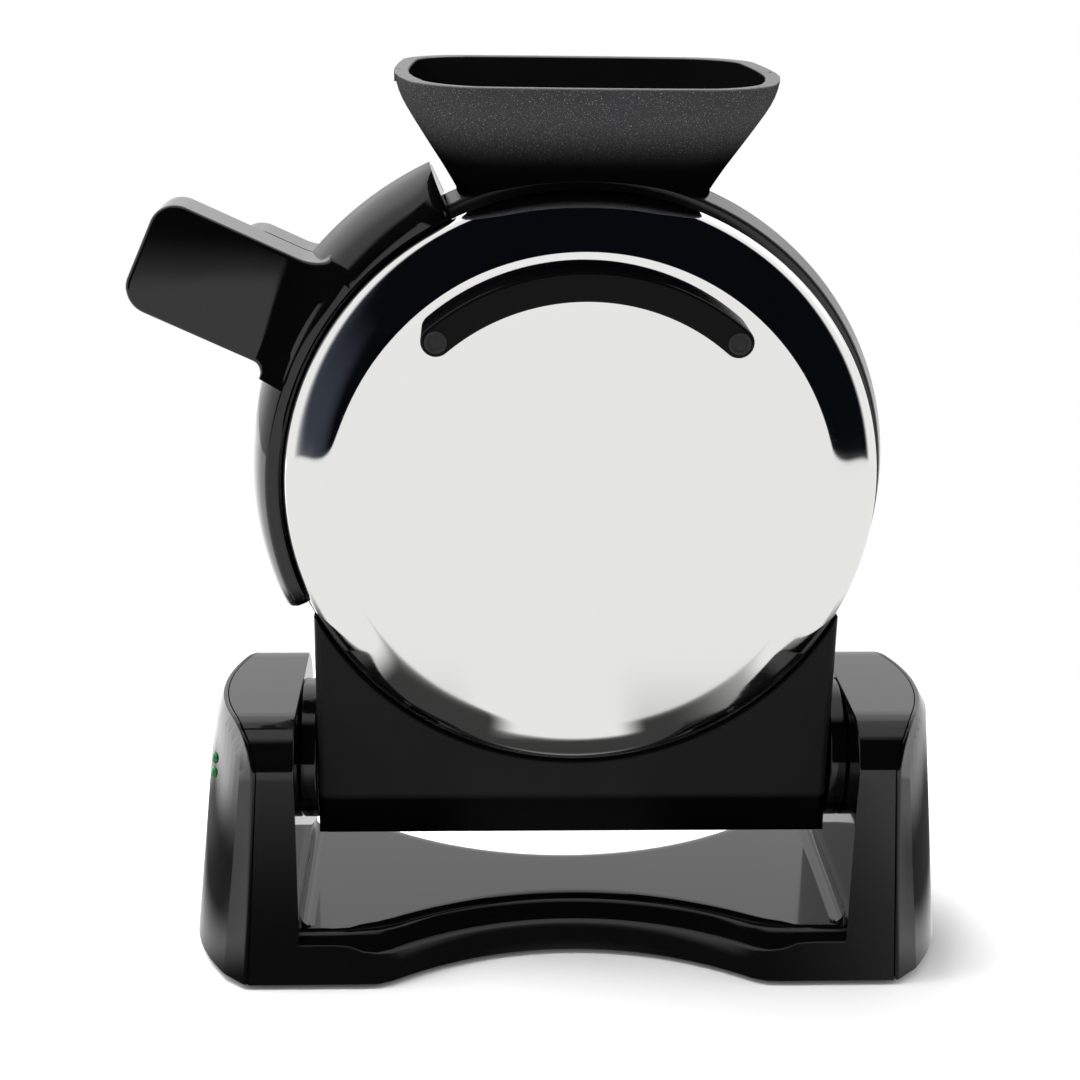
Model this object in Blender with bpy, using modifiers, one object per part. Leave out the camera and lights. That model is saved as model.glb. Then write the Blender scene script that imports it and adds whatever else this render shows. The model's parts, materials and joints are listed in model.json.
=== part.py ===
# Upright waffle iron that is filled from a spout on top.
# Metres, +Z up. X is the width, -Y is the front, and the table is at Z = 0.
# The plane Y = 0 is where the two halves of the iron part.
# "out" is a distance from that plane, forwards on the front half and backwards on the rear half.

from math import atan2, cos, hypot, pi, radians, sin, sqrt

import bmesh
import bpy
from mathutils import Matrix, Vector

# Fits
clearance = 0.0003
overrun = 0.004
half_gap = 0.0006

# Heights above the table, and the width, that the rest follows
base_bottom_z = 0.0025
cradle_bottom_z = 0.0605
cradle_floor = 0.0285
cover_radius = 0.120

# Covers and bezels
cover_shoulder = 0.0215
cover_face_radius = cover_radius - cover_shoulder
cover_rim_out = 0.027
cover_face_out = 0.038
cover_sheet = 0.0012
shoulder_shares = ((0.0, 1.0), (0.13, 0.94), (0.5, 0.58), (0.9, 0.14), (1.0, -0.06))
bezel_lip = 0.0065
bezel_radius = cover_radius + bezel_lip
bezel_taper = 0.003
bezel_front_radius = bezel_radius - bezel_taper
bezel_depth = 0.0114
bezel_width = 0.0225
bezel_bore_radius = bezel_radius - bezel_width
bezel_flange = 0.003
bezel_wall = 0.008
bezel_spigot = 0.004
bezel_spigot_wall = 0.002
bezel_edge = 0.0013
bezel_flat_rise = 0.004
iron_z = cradle_bottom_z + cradle_floor + bezel_radius

# Baking plates
plate_thickness = 0.0135
pan_margin = 0.012
pan_radius = bezel_bore_radius - pan_margin
pan_depth = 0.009
pan_draft = 0.0013
block_pitch = 0.0182
block_base = 0.0136
block_top = 0.0106
block_height = 0.0062
divider_width = 0.0042
divider_drop = 0.0016
feed_half_width = 0.024
feed_half_depth = 0.006
feed_drop = 0.0136

# Heating
element_margin = 0.022
element_radius = pan_radius - element_margin
element_tube_radius = 0.0033
element_gap_degrees = 24
terminal_length = 0.009
terminal_hole_radius = 0.0054
shield_margin = 0.002
shield_radius = pan_radius - shield_margin
shield_lip = 0.005
shield_sheet = 0.0008
thermostat_radius = 0.0085
thermostat_height = 0.007
thermostat_offset = 0.036
fuse_radius = 0.0022
fuse_length = 0.022
fuse_offset = 0.040

# Cradle and brackets
cradle_inset = 0.018
cradle_half_width = bezel_radius - cradle_inset
cradle_face_out = 0.026
cradle_top_drop = 0.056
cradle_top_z = iron_z - cradle_top_drop
cradle_wall = 0.003
cradle_belly_radius = 0.012
cradle_side_bevel = 0.0035
cradle_seat_gap = 0.0012
cradle_back_thickness = 0.0022
cradle_back_drop = 0.0894
bracket_screw_share = 0.31

# Hinge
hinge_rise = 0.029
hinge_z = cradle_bottom_z + hinge_rise
pin_radius = 0.006
pin_square = 0.0082
pin_head_radius = 0.009
pin_head_length = 0.003
knuckle_radius = 0.013
knuckle_arm_depth = 0.0105
knuckle_arm_start = 0.0012
knuckle_length = 0.0095
bracket_rise = 0.008
bracket_bottom_z = hinge_z + bracket_rise
hub_radius = 0.030
hub_length = 0.0075
hub_spigot_radius = 0.011
hub_spigot_length = 0.0056
hub_edge = 0.0008

# Base
post_top_z = hinge_z + hub_radius
post_inner_x = cradle_half_width + hub_length
post_width = 0.031
post_half_depth = 0.051
post_crown_radius = 0.021
base_wall = 0.003
seam_x = post_inner_x + post_width
seam_bow = 0.0172
seam_slope = 0.07
cap_slope = 0.111
cap_bow = 0.0215
cap_step = 0.0018
cap_bulge = 0.006
cap_chamfer = 0.0068
bridge_height = 0.024
bridge_shoulder = 0.0355
bridge_arc_half_width = post_inner_x - bridge_shoulder
bridge_arc_depth = 0.0265
bridge_roll = 0.009
bottom_thickness = 0.0025
foot_radius = 0.008
foot_inset_x = 0.013
foot_x = post_inner_x + foot_inset_x
foot_inset_y = 0.015
foot_y = post_half_depth - foot_inset_y
screw_head_radius = 0.0032
screw_head_height = 0.0016
bottom_screw_x = 0.060
board_thickness = 0.0016
board_half_depth = 0.028
board_height = 0.046
board_post_radius = 0.003
board_post_height = 0.004
board_post_inset = 0.005
board_bottom_z = 0.030
relay_size = 0.014
terminal_block_width = 0.010
terminal_block_depth = 0.022
terminal_block_height = 0.014
terminal_block_back = 0.017
gland_inset = 0.012
gland_x = post_inner_x + gland_inset
gland_z = 0.030
gland_radius = 0.0078
gland_length = 0.0045
gland_neck_radius = 0.0055
gland_bore_radius = 0.0034
lens_radius = 0.0024
lens_proud = 0.0007
lens_depth = 0.005
lens_y = 0.020
lens_drop = 0.0252
lens_top_z = post_top_z - lens_drop
lens_pitch = 0.0068

# Spout
spout_seat = 0.0092
spout_foot_z = iron_z + bezel_radius - spout_seat
spout_height = 0.0446
spout_top_z = spout_foot_z + spout_height
spout_half_width = 0.075
spout_half_depth = 0.068
spout_corner = 0.022
spout_front_share = 0.20
spout_rear_share = 0.06
spout_bow_share = 0.04
spout_foot_half_width = 0.050
spout_foot_half_depth = 0.0195
spout_foot_corner = 0.012
spout_end_wall = 0.0052
spout_side_wall = 0.003
throat_half_width = 0.030
throat_half_depth = 0.009
throat_corner = 0.006
throat_rise = 0.0132
throat_top_z = spout_foot_z + throat_rise
spout_flare_shares = ((0.0, 0.0), (0.3, 0.38), (0.6, 0.70), (0.85, 0.93), (1.0, 1.0))
spout_skirt_gap = 0.0035

# Collar and handle
collar_upper_wall = 0.014
collar_upper_radius = bezel_radius + collar_upper_wall
collar_lower_wall = 0.008
collar_lower_radius = bezel_radius + collar_lower_wall
collar_narrow_degrees = (140.0, 164.0)
collar_front_wall = 0.0054
collar_front_radius = cover_radius + collar_front_wall
collar_bore_gap = 0.0009
collar_front_out = 0.0268
collar_flare_shares = ((0.0, 0.0), (0.16, 0.36), (0.4, 0.66), (0.7, 0.88), (1.0, 1.0))
collar_start_degrees = 115.5
collar_end_degrees = 204.0
rear_collar_depth = 0.0035
rear_collar_step = 0.002
handle_tilt_degrees = 24.5
handle_root_rise = 0.00856
handle_root_radius = bezel_radius + handle_root_rise
handle_root_degrees = 31.08
handle_root_x = handle_root_radius * cos(radians(handle_root_degrees))
handle_root_z = handle_root_radius * sin(radians(handle_root_degrees))
handle_length = 0.0616
handle_width = 0.045
handle_root_overlap = 0.004
handle_front_out = 0.022
handle_corner = 0.0105
handle_root_fillet = 0.005
handle_edge = 0.0016
rear_handle_length = 0.030
rear_handle_depth = 0.0194

# Latch
latch_travel = 0.0045
latch_width = 0.014
latch_stem = 0.005
latch_reach = 0.0102
latch_pocket_depth = 0.0115
latch_position = 0.014
latch_button_length = 0.016
latch_button_depth = 0.0035
latch_button_width = 0.022

# Foot bar on the cover
bar_inset = 0.0107
bar_radius = cover_face_radius - bar_inset
bar_half_degrees = 40.9
bar_width = 0.0118
bar_height = 0.012
pad_radius = 0.0043
pad_height = 0.0006

# Counts
ring_steps = 44
round_steps = 20
hub_steps = 24
element_steps = 24
small_steps = 12
corner_steps = 4
collar_steps = 16
arc_steps = 10
seam_slices = 5


for leftover in list(bpy.data.objects):
    bpy.data.objects.remove(leftover, do_unlink=True)

parts = bpy.data.collections.new("upright_waffle_iron")
cutters = bpy.data.collections.new("cutters")
bpy.context.scene.collection.children.link(parts)
bpy.context.scene.collection.children.link(cutters)


def material(name, colour, roughness, metallic=0.0):
    made = bpy.data.materials.new(name)
    made.use_nodes = True
    shader = made.node_tree.nodes["Principled BSDF"]
    shader.inputs["Base Color"].default_value = (*colour, 1.0)
    shader.inputs["Roughness"].default_value = roughness
    shader.inputs["Metallic"].default_value = metallic
    return made


def gloss_black(name):
    return material(name, (0.012, 0.012, 0.014), 0.12)


def matte_black(name):
    return material(name, (0.022, 0.022, 0.024), 0.5)


def polished_steel(name):
    return material(name, (0.78, 0.77, 0.75), 0.12, 1.0)


def cast_metal(name):
    return material(name, (0.32, 0.32, 0.33), 0.45, 1.0)


def bright_metal(name):
    return material(name, (0.62, 0.62, 0.63), 0.3, 1.0)


# Building blocks

def add_object(name, mesh, finish=None):
    made = bpy.data.objects.new(name, mesh)
    if finish is None:
        cutters.objects.link(made)
        made.hide_render = True
        made.display_type = "WIRE"
    else:
        parts.objects.link(made)
        mesh.materials.append(finish(name + "_finish"))
    return made


def from_bmesh(name, bm, finish=None):
    bmesh.ops.recalc_face_normals(bm, faces=bm.faces)
    mesh = bpy.data.meshes.new(name)
    bm.to_mesh(mesh)
    bm.free()
    mesh.shade_smooth()
    mesh.set_sharp_from_angle(angle=radians(35))
    return add_object(name, mesh, finish)


def box(name, low, high, finish=None):
    bm = bmesh.new()
    bmesh.ops.create_cube(bm, size=1.0)
    size = Vector(high) - Vector(low)
    centre = (Vector(high) + Vector(low)) / 2
    bmesh.ops.scale(bm, verts=bm.verts, vec=size)
    bmesh.ops.translate(bm, verts=bm.verts, vec=centre)
    return from_bmesh(name, bm, finish)


def cylinder(name, axis, start, end, radius, centre, finish=None, steps=round_steps):
    # A bar along X, Y or Z between two stations; centre gives its other two coordinates
    bm = bmesh.new()
    bmesh.ops.create_cone(bm, cap_ends=True, segments=steps, radius1=radius, radius2=radius,
                          depth=end - start)
    turn = {"X": Matrix.Rotation(pi / 2, 3, "Y"), "Y": Matrix.Rotation(-pi / 2, 3, "X"),
            "Z": Matrix.Identity(3)}[axis]
    bmesh.ops.rotate(bm, verts=bm.verts, matrix=turn)
    middle = (start + end) / 2
    place = {"X": (middle, *centre), "Y": (centre[0], middle, centre[1]), "Z": (*centre, middle)}[axis]
    bmesh.ops.translate(bm, verts=bm.verts, vec=place)
    return from_bmesh(name, bm, finish)


def turned(name, profile, finish=None, closed=True, steps=ring_steps):
    # A profile of (radius, height) points at +X, swept round Z by a Screw modifier
    mesh = bpy.data.meshes.new(name)
    points = [(radius, 0.0, height) for radius, height in profile]
    edges = [(i, i + 1) for i in range(len(points) - 1)]
    if closed:
        edges.append((len(points) - 1, 0))
    mesh.from_pydata(points, edges, [])
    made = add_object(name, mesh, finish)
    screw = made.modifiers.new("Turn", "SCREW")
    screw.steps = steps
    screw.render_steps = steps
    screw.use_merge_vertices = True
    screw.merge_threshold = 0.00001
    screw.use_smooth_shade = True
    return made


def extruded(name, outline, low, high, finish=None, plane="XY"):
    # A closed outline given in one plane, drawn along the third axis from low to high
    bm = bmesh.new()
    spot = {"XY": lambda a, b: (a, b, low), "XZ": lambda a, b: (a, low, b),
            "YZ": lambda a, b: (low, a, b)}[plane]
    along = {"XY": (0, 0, high - low), "XZ": (0, high - low, 0), "YZ": (high - low, 0, 0)}[plane]
    face = bm.faces.new([bm.verts.new(spot(a, b)) for a, b in outline])
    grown = bmesh.ops.extrude_face_region(bm, geom=[face])
    moved = [g for g in grown["geom"] if isinstance(g, bmesh.types.BMVert)]
    bmesh.ops.translate(bm, verts=moved, vec=along)
    return from_bmesh(name, bm, finish)


def boolean(target, tool, operation="DIFFERENCE"):
    step = target.modifiers.new(operation.title(), "BOOLEAN")
    step.operation = operation
    step.solver = "EXACT"
    step.object = tool
    return target


def cut(target, *tools):
    for tool in tools:
        boolean(target, tool)
    return target


def join(target, *tools):
    for tool in tools:
        boolean(target, tool, "UNION")
    return target


def settle(thing):
    # Turn an object's modifiers into a plain mesh, so that it can be copied or bevelled
    bpy.context.view_layer.update()
    seen = thing.evaluated_get(bpy.context.evaluated_depsgraph_get())
    mesh = bpy.data.meshes.new_from_object(seen)
    thing.modifiers.clear()
    thing.data = mesh
    return thing


def bevel(thing, width, segments=2, degrees=40):
    step = thing.modifiers.new("Edges", "BEVEL")
    step.width = width
    step.segments = segments
    step.limit_method = "ANGLE"
    step.angle_limit = radians(degrees)
    step.use_clamp_overlap = True
    return thing


def arc_points(centre, radius, start, end, steps):
    return [(centre[0] + radius * cos(start + (end - start) * i / steps),
             centre[1] + radius * sin(start + (end - start) * i / steps)) for i in range(steps + 1)]


def rounded_box_outline(half_width, half_depth, corner, steps=corner_steps):
    points = []
    for quarter, (sx, sy) in enumerate(((1, 1), (-1, 1), (-1, -1), (1, -1))):
        middle = (sx * (half_width - corner), sy * (half_depth - corner))
        points += arc_points(middle, corner, quarter * pi / 2, (quarter + 1) * pi / 2, steps)
    return points


def loft(name, rings, finish=None):
    # Skin a stack of rings that all have the same number of points
    bm = bmesh.new()
    rows = [[bm.verts.new(p) for p in ring] for ring in rings]
    count = len(rows[0])
    for lower, upper in zip(rows, rows[1:]):
        for i in range(count):
            j = (i + 1) % count
            bm.faces.new((lower[i], lower[j], upper[j], upper[i]))
    bm.faces.new(rows[0])
    bm.faces.new(rows[-1])
    return from_bmesh(name, bm, finish)


def seat_half(thing, front):
    # Local +Z points out of the iron, local +Y is up
    thing.rotation_euler = (pi / 2, 0, 0 if front else pi)
    thing.location = (0, 0, iron_z)
    return thing


def iron_cylinder(name, radius, start, end, steps=ring_steps):
    return cylinder(name, "Y", start, end, radius, (0, iron_z), steps=steps)


# Covers, bezels and baking plates

def cover_profile():
    width = cover_radius - cover_face_radius
    rise = cover_face_out - cover_rim_out
    outer = [(cover_face_radius + u * width, cover_rim_out + v * rise) for u, v in shoulder_shares]
    skirt_end = half_gap + bezel_depth + clearance
    inner = []
    for u, v in reversed(shoulder_shares[::2]):
        inner.append((cover_face_radius + u * width - cover_sheet * (0.4 + 0.6 * u),
                      cover_rim_out + v * rise - cover_sheet))
    return ([(0, cover_face_out)] + outer + [(cover_radius, skirt_end), (cover_radius - cover_sheet, skirt_end)]
            + inner + [(0, cover_face_out - cover_sheet)])


def make_cover(name, front):
    return seat_half(turned(name, cover_profile(), polished_steel, closed=False), front)


def make_bezel(name, front):
    face = half_gap + bezel_depth
    spigot = cover_radius - cover_sheet - clearance
    profile = [
        (spigot, face + bezel_spigot), (spigot, face), (bezel_front_radius - bezel_edge, face),
        (bezel_front_radius, face - bezel_edge), (bezel_radius, half_gap), (bezel_bore_radius, half_gap),
        (bezel_bore_radius, half_gap + bezel_flange), (bezel_radius - bezel_wall - bezel_spigot_wall,
                                                     half_gap + bezel_flange),
        (spigot - bezel_spigot_wall, face + bezel_spigot)]
    ring = seat_half(turned(name, profile, matte_black), front)
    cut(ring, feed_cutter)
    if not front:
        low = (-bezel_radius, -cover_face_out, 0)
        flat = hinge_z + bezel_flat_rise
        trim = box(name + "_trim", low, (bezel_radius, cover_face_out, flat))
        cut(ring, trim)
    return ring


def block_places():
    reach = int(pan_radius / block_pitch) + 1
    for i in range(-reach, reach):
        for j in range(-reach, reach):
            x = (i + 0.5) * block_pitch
            y = (j + 0.5) * block_pitch
            if hypot(abs(x) + block_base / 2, abs(y) + block_base / 2) < pan_radius - clearance * 2:
                yield x, y


def waffle_blocks(name):
    bm = bmesh.new()
    floor = half_gap + pan_depth
    top = floor - block_height
    for x, y in block_places():
        made = bmesh.ops.create_cube(bm, size=1.0)["verts"]
        for v in made:
            wide = block_top if v.co.z < 0 else block_base
            v.co = Vector((x + v.co.x * wide, y + v.co.y * wide, top if v.co.z < 0 else floor + clearance))
    return from_bmesh(name, bm)


def make_plate(name, front):
    back = half_gap + plate_thickness
    floor = half_gap + pan_depth
    rim = bezel_bore_radius - clearance
    profile = [(0, back), (rim, back), (rim, half_gap), (pan_radius, half_gap),
               (pan_radius - pan_draft, floor), (0, floor)]
    plate = turned(name, profile, cast_metal, closed=False)
    join(plate, waffle_blocks(name + "_blocks"))
    arm = divider_width / 2
    reach = pan_radius + clearance
    for tag, size in (("_bar_a", (reach, arm)), ("_bar_b", (arm, reach))):
        low = (-size[0], -size[1], half_gap + divider_drop)
        join(plate, box(name + tag, low, (size[0], size[1], floor + clearance)))
    seat_half(plate, front)
    for tool in parts.objects[name].modifiers:
        if tool.type == "BOOLEAN":
            seat_half(tool.object, front)
    cut(plate, feed_cutter)
    return plate


feed_cutter = box("feed_cutter", (-feed_half_width, -feed_half_depth, iron_z + pan_radius - feed_drop),
                  (feed_half_width, feed_half_depth, iron_z + bezel_radius + overrun))


# Heating elements, shields and controls of the baking plates

def tube(name, points, radius, finish):
    curve = bpy.data.curves.new(name, "CURVE")
    curve.dimensions = "3D"
    curve.bevel_depth = radius
    curve.bevel_resolution = 1
    curve.use_fill_caps = True
    line = curve.splines.new("POLY")
    line.points.add(len(points) - 1)
    for place, point in zip(line.points, points):
        place.co = (*point, 1.0)
    curve.materials.append(finish(name + "_finish"))
    made = bpy.data.objects.new(name, curve)
    parts.objects.link(made)
    return made


def terminal_place():
    # Where the right end of the element leaves the ring and turns away from the plate
    start = -pi / 2 + radians(element_gap_degrees) / 2
    bend = 2 * element_tube_radius
    return (element_radius * cos(start) + bend * sin(start), element_radius * sin(start) - bend * cos(start))


def make_element(name, front):
    out = half_gap + plate_thickness + clearance + element_tube_radius
    start = -pi / 2 + radians(element_gap_degrees) / 2
    ring = [(x, y, out) for x, y in arc_points((0, 0), element_radius, start, pi - start, element_steps)]
    bend = 2 * element_tube_radius
    x, y = terminal_place()
    terminal = [(x, y, out + terminal_length)]
    for turn in (pi / 2, pi / 3, pi / 6):
        short = bend * (1 - sin(turn))
        terminal.append((x - short * sin(start), y + short * cos(start), out + bend * (1 - cos(turn))))
    other = [(-x, y, z) for x, y, z in reversed(terminal)]
    return seat_half(tube(name, terminal + ring + other, element_tube_radius, bright_metal), front)


def shield_out():
    return half_gap + plate_thickness + 2 * (clearance + element_tube_radius) + clearance


def make_shield(name, front):
    back = half_gap + plate_thickness + clearance
    top = shield_out()
    lip = shield_radius + shield_lip
    sheet = shield_sheet
    profile = [(0, top + sheet), (shield_radius, top + sheet), (shield_radius + sheet, back + sheet),
               (lip, back + sheet), (lip, back), (shield_radius, back), (shield_radius - sheet, top), (0, top)]
    pan = seat_half(turned(name, profile, bright_metal, closed=False, steps=32), front)
    x, y = terminal_place()
    for side in (-1, 1):
        hole = cylinder(name + "_hole_%d" % side, "Z", top - overrun, top + sheet + overrun,
                        terminal_hole_radius, (side * x, y), steps=small_steps)
        cut(pan, seat_half(hole, front))
    return pan


def make_thermostat():
    start = shield_out() + shield_sheet + clearance
    can = cylinder("thermostat", "Z", start, start + thermostat_height, thermostat_radius,
                   (0, thermostat_offset), matte_black, small_steps)
    return seat_half(can, False)


def make_fuse():
    out = shield_out() + shield_sheet + clearance + fuse_radius
    body = cylinder("thermal_fuse", "X", -fuse_length / 2, fuse_length / 2, fuse_radius,
                    (-fuse_offset, out), bright_metal, 12)
    return seat_half(body, False)


# Cradle that holds the front half, and brackets that hold the rear half

def cradle_block(name, front, bottom, finish):
    sign = -1 if front else 1
    face = sign * cradle_face_out
    inner = sign * (half_gap + clearance)
    bm = bmesh.new()
    bmesh.ops.create_cube(bm, size=1.0)
    for v in bm.verts:
        v.co = Vector((v.co.x * 2 * cradle_half_width, face if v.co.y < 0 else inner,
                       cradle_top_z if v.co.z > 0 else bottom))

    def on_face(edge):
        return all(abs(v.co.y - face) < clearance for v in edge.verts)

    belly = [e for e in bm.edges if on_face(e) and all(abs(v.co.z - bottom) < clearance for v in e.verts)]
    sides = [e for e in bm.edges if on_face(e) and abs(e.verts[0].co.x - e.verts[1].co.x) < clearance]
    if front:
        made = bmesh.ops.bevel(bm, geom=belly, offset=cradle_belly_radius, segments=4, profile=0.5,
                               affect="EDGES", clamp_overlap=False)
        sides = [e for e in bm.edges if abs(abs(e.verts[0].co.x) - cradle_half_width) < clearance
                 and abs(e.verts[0].co.x - e.verts[1].co.x) < clearance
                 and all(v.co.y < face + cradle_belly_radius + clearance for v in e.verts)
                 and e.calc_face_angle(0.0) > radians(60)]
    bmesh.ops.bevel(bm, geom=sides, offset=cradle_side_bevel, segments=2, profile=0.5,
                    affect="EDGES", clamp_overlap=True)
    return from_bmesh(name, bm, finish)


def iron_seat_cutters(name, front):
    sign = -1 if front else 1
    deep = half_gap + bezel_depth + clearance
    ends = sorted((-sign * overrun, sign * (cradle_face_out + overrun)))
    through = iron_cylinder(name + "_rim_seat", cover_radius + cradle_seat_gap, *ends)
    ends = sorted((-sign * overrun, sign * deep))
    seat = iron_cylinder(name + "_bezel_seat", bezel_radius + clearance, *ends)
    return through, seat


def pocket_cutter(name, front, low, gap=0.0, depth=None):
    # Crescent between the bottom wall and the wall that follows the bezel
    sign = -1 if front else 1
    deep = cradle_face_out - cradle_wall if depth is None else depth
    start = half_gap + clearance - (overrun if depth is None else 0.0)
    ends = sorted((sign * start, sign * deep))
    half = cradle_half_width - cradle_wall - gap
    made = box(name, (-half, ends[0], low), (half, ends[1], cradle_top_z + overrun))
    ends = sorted((-sign * 3 * overrun, sign * (cradle_face_out + overrun)))
    cut(made, iron_cylinder(name + "_wall", bezel_radius + clearance + cradle_wall + gap, *ends))
    return made


def both_sides(maker):
    return [maker(side, word) for side, word in ((-1, "left"), (1, "right"))]


def rows_on_both_sides(maker):
    return [thing for row in both_sides(maker) for thing in row]


def hinge_bar(name, side, start, end, radius, finish=None, steps=round_steps):
    ends = sorted((side * start, side * end))
    return cylinder(name, "X", ends[0], ends[1], radius, (0, hinge_z), finish, steps)


def make_cradle():
    cradle = cradle_block("cradle", True, cradle_bottom_z, gloss_black)
    inner_x = cradle_half_width - cradle_wall
    for side, word in ((-1, "left"), (1, "right")):
        join(cradle, hinge_bar("cradle_ear_" + word, side, inner_x, cradle_half_width, knuckle_radius))
    cut(cradle, *iron_seat_cutters("cradle", True))
    cut(cradle, pocket_cutter("cradle_pocket", True, cradle_bottom_z + cradle_wall))
    for side, word in ((-1, "left"), (1, "right")):
        cut(cradle, hinge_bar("cradle_bore_" + word, side, inner_x - overrun, cradle_half_width + overrun,
                              pin_radius + clearance))
    return cradle


def make_cradle_back():
    depth = half_gap + clearance + cradle_back_thickness
    low = cradle_bottom_z + cradle_wall + clearance
    back = pocket_cutter("cradle_back", True, low, clearance, depth)
    cutters.objects.unlink(back)
    parts.objects.link(back)
    back.hide_render = False
    back.display_type = "TEXTURED"
    back.data.materials.append(matte_black("cradle_back_finish"))
    top = box("cradle_back_top", (-cradle_half_width, -cradle_face_out, iron_z - cradle_back_drop),
              (cradle_half_width, cradle_face_out, cradle_top_z + 2 * overrun))
    cut(back, top)
    inner_x = cradle_half_width - cradle_wall
    for side, word in ((-1, "left"), (1, "right")):
        cut(back, hinge_bar("cradle_back_notch_" + word, side, inner_x - knuckle_length - 2 * clearance,
                            inner_x + clearance, knuckle_radius + clearance))
    return back


def make_bracket(side, word):
    name = word + "_rear_bracket"
    bracket = cradle_block(name, False, bracket_bottom_z, gloss_black)
    cut(bracket, *iron_seat_cutters(name, False))
    cut(bracket, pocket_cutter(name + "_pocket", False, bracket_bottom_z + cradle_wall))
    far = sorted((0, -side * (cradle_half_width + overrun)))
    cut(bracket, box(name + "_half", (far[0], -overrun, 0), (far[1], cradle_face_out + overrun, iron_z)))
    outer = cradle_half_width - cradle_wall - clearance
    cut(bracket, hinge_bar(name + "_clear", side, outer, cradle_half_width + overrun, knuckle_radius + clearance))
    inner = outer - knuckle_length
    join(bracket, hinge_bar(name + "_knuckle", side, inner, outer, knuckle_radius - clearance))
    xs = sorted((side * inner, side * outer))
    arm_top = bracket_bottom_z + cradle_wall
    join(bracket, box(name + "_arm", (xs[0], knuckle_arm_start, hinge_z), (xs[1], knuckle_arm_depth, arm_top)))
    half = pin_square / 2 + clearance
    join_cut = sorted((side * (inner - overrun), side * (outer + overrun)))
    cut(bracket, box(name + "_square", (join_cut[0], -half, hinge_z - half), (join_cut[1], half, hinge_z + half)))
    return bracket


def make_bracket_screws(side, word):
    out = cradle_face_out + clearance
    x = side * (cradle_half_width - 2 * screw_head_radius)
    for row, share in (("lower", bracket_screw_share), ("upper", 2 * bracket_screw_share)):
        z = mix(bracket_bottom_z, cradle_top_z, share)
        yield cylinder("%s_%s_bracket_screw" % (word, row), "Y", out, out + screw_head_height,
                       screw_head_radius, (x, z), bright_metal, 12)


# Hinge hubs and pins

def make_hub(side, word):
    inner = cradle_half_width + clearance
    outer = post_inner_x - clearance
    hub = hinge_bar(word + "_hinge_hub", side, inner, outer, hub_radius, gloss_black, hub_steps)
    join(hub, hinge_bar(word + "_hub_spigot", side, outer - hub_edge, outer + hub_spigot_length, hub_spigot_radius))
    cut(hub, hinge_bar(word + "_hub_bore", side, inner - overrun, outer + hub_spigot_length + overrun,
                       pin_radius + clearance))
    return hub


def make_pin(side, word):
    outer = post_inner_x - clearance + hub_spigot_length + clearance
    inner = cradle_half_width - cradle_wall - clearance - knuckle_length
    square_end = cradle_half_width - cradle_wall
    pin = hinge_bar(word + "_hinge_pin", side, square_end - clearance, outer + pin_head_length / 2, pin_radius,
                    bright_metal)
    join(pin, hinge_bar(word + "_pin_head", side, outer, outer + pin_head_length, pin_head_radius, steps=6))
    xs = sorted((side * inner, side * square_end))
    half = pin_square / 2
    join(pin, box(word + "_pin_square", (xs[0], -half, hinge_z - half), (xs[1], half, hinge_z + half)))
    return pin


# Base

def seam_offset(y, z, slope, bow):
    return slope * (post_top_z - z) - bow * (y / post_half_depth) ** 2


def post_outline(inset=0.0, floor=None):
    half = post_half_depth - inset
    top = post_top_z - inset
    crown = post_crown_radius - inset
    low = base_bottom_z + inset if floor is None else floor
    points = [(-half, low), (half, low)]
    points += arc_points((half - crown, top - crown), crown, 0, pi / 2, corner_steps + 1)
    points += arc_points((-half + crown, top - crown), crown, pi / 2, pi, corner_steps + 1)
    return points


def bend_at(x, stations):
    # How much of the curve a place takes, its slope and its bow, read between the stations
    for (x0, *low), (x1, *high) in zip(stations, stations[1:]):
        if x <= x1 or (x1, *high) == stations[-1]:
            share = min(max((x - x0) / (x1 - x0), 0), 1)
            return [mix(a, b, share) for a, b in zip(low, high)]


def bent_block(name, side, layers, finish=None):
    # Stack outlines along X, slice them across Y, and curve the outer layers with the seam.
    # A layer is (outline, x, amount of the curve, slope, bow).
    bm = bmesh.new()
    rows = [[bm.verts.new((x, y, z)) for y, z in outline] for outline, x, amount, slope, bow in layers]
    count = len(rows[0])
    for lower, upper in zip(rows, rows[1:]):
        for i in range(count):
            j = (i + 1) % count
            bm.faces.new((lower[i], lower[j], upper[j], upper[i]))
    bm.faces.new(rows[0])
    bm.faces.new(rows[-1])
    reach = max(abs(y) for y, z in layers[0][0])
    for i in range(1, 2 * seam_slices):
        y = reach * (i / seam_slices - 1)
        everything = bm.verts[:] + bm.edges[:] + bm.faces[:]
        bmesh.ops.bisect_plane(bm, geom=everything, plane_co=(0, y, 0), plane_no=(0, 1, 0), dist=0.000001)
    stations = [layer[1:] for layer in layers]
    for v in bm.verts:
        amount, slope, bow = bend_at(v.co.x, stations)
        v.co.x += amount * seam_offset(v.co.y, v.co.z, slope, bow)
    if side < 0:
        bmesh.ops.scale(bm, verts=bm.verts, vec=(-1, 1, 1))
    return from_bmesh(name, bm, finish)


def bridge_outline(inset, half_length):
    # Straight at both ends, hollowed by a shallow arc in front and behind
    chord = bridge_arc_half_width
    sag = bridge_arc_depth
    radius = (chord * chord + sag * sag) / (2 * sag)
    centre_y = -post_half_depth + sag - radius
    swing = atan2(chord, radius - sag)
    front = [(-half_length, -post_half_depth + inset)]
    front += [(x, y + inset) for x, y in
              arc_points((0, centre_y), radius, pi / 2 + swing, pi / 2 - swing, arc_steps)]
    front += [(half_length, -post_half_depth + inset)]
    return front + [(x, -y) for x, y in reversed(front)]


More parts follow.
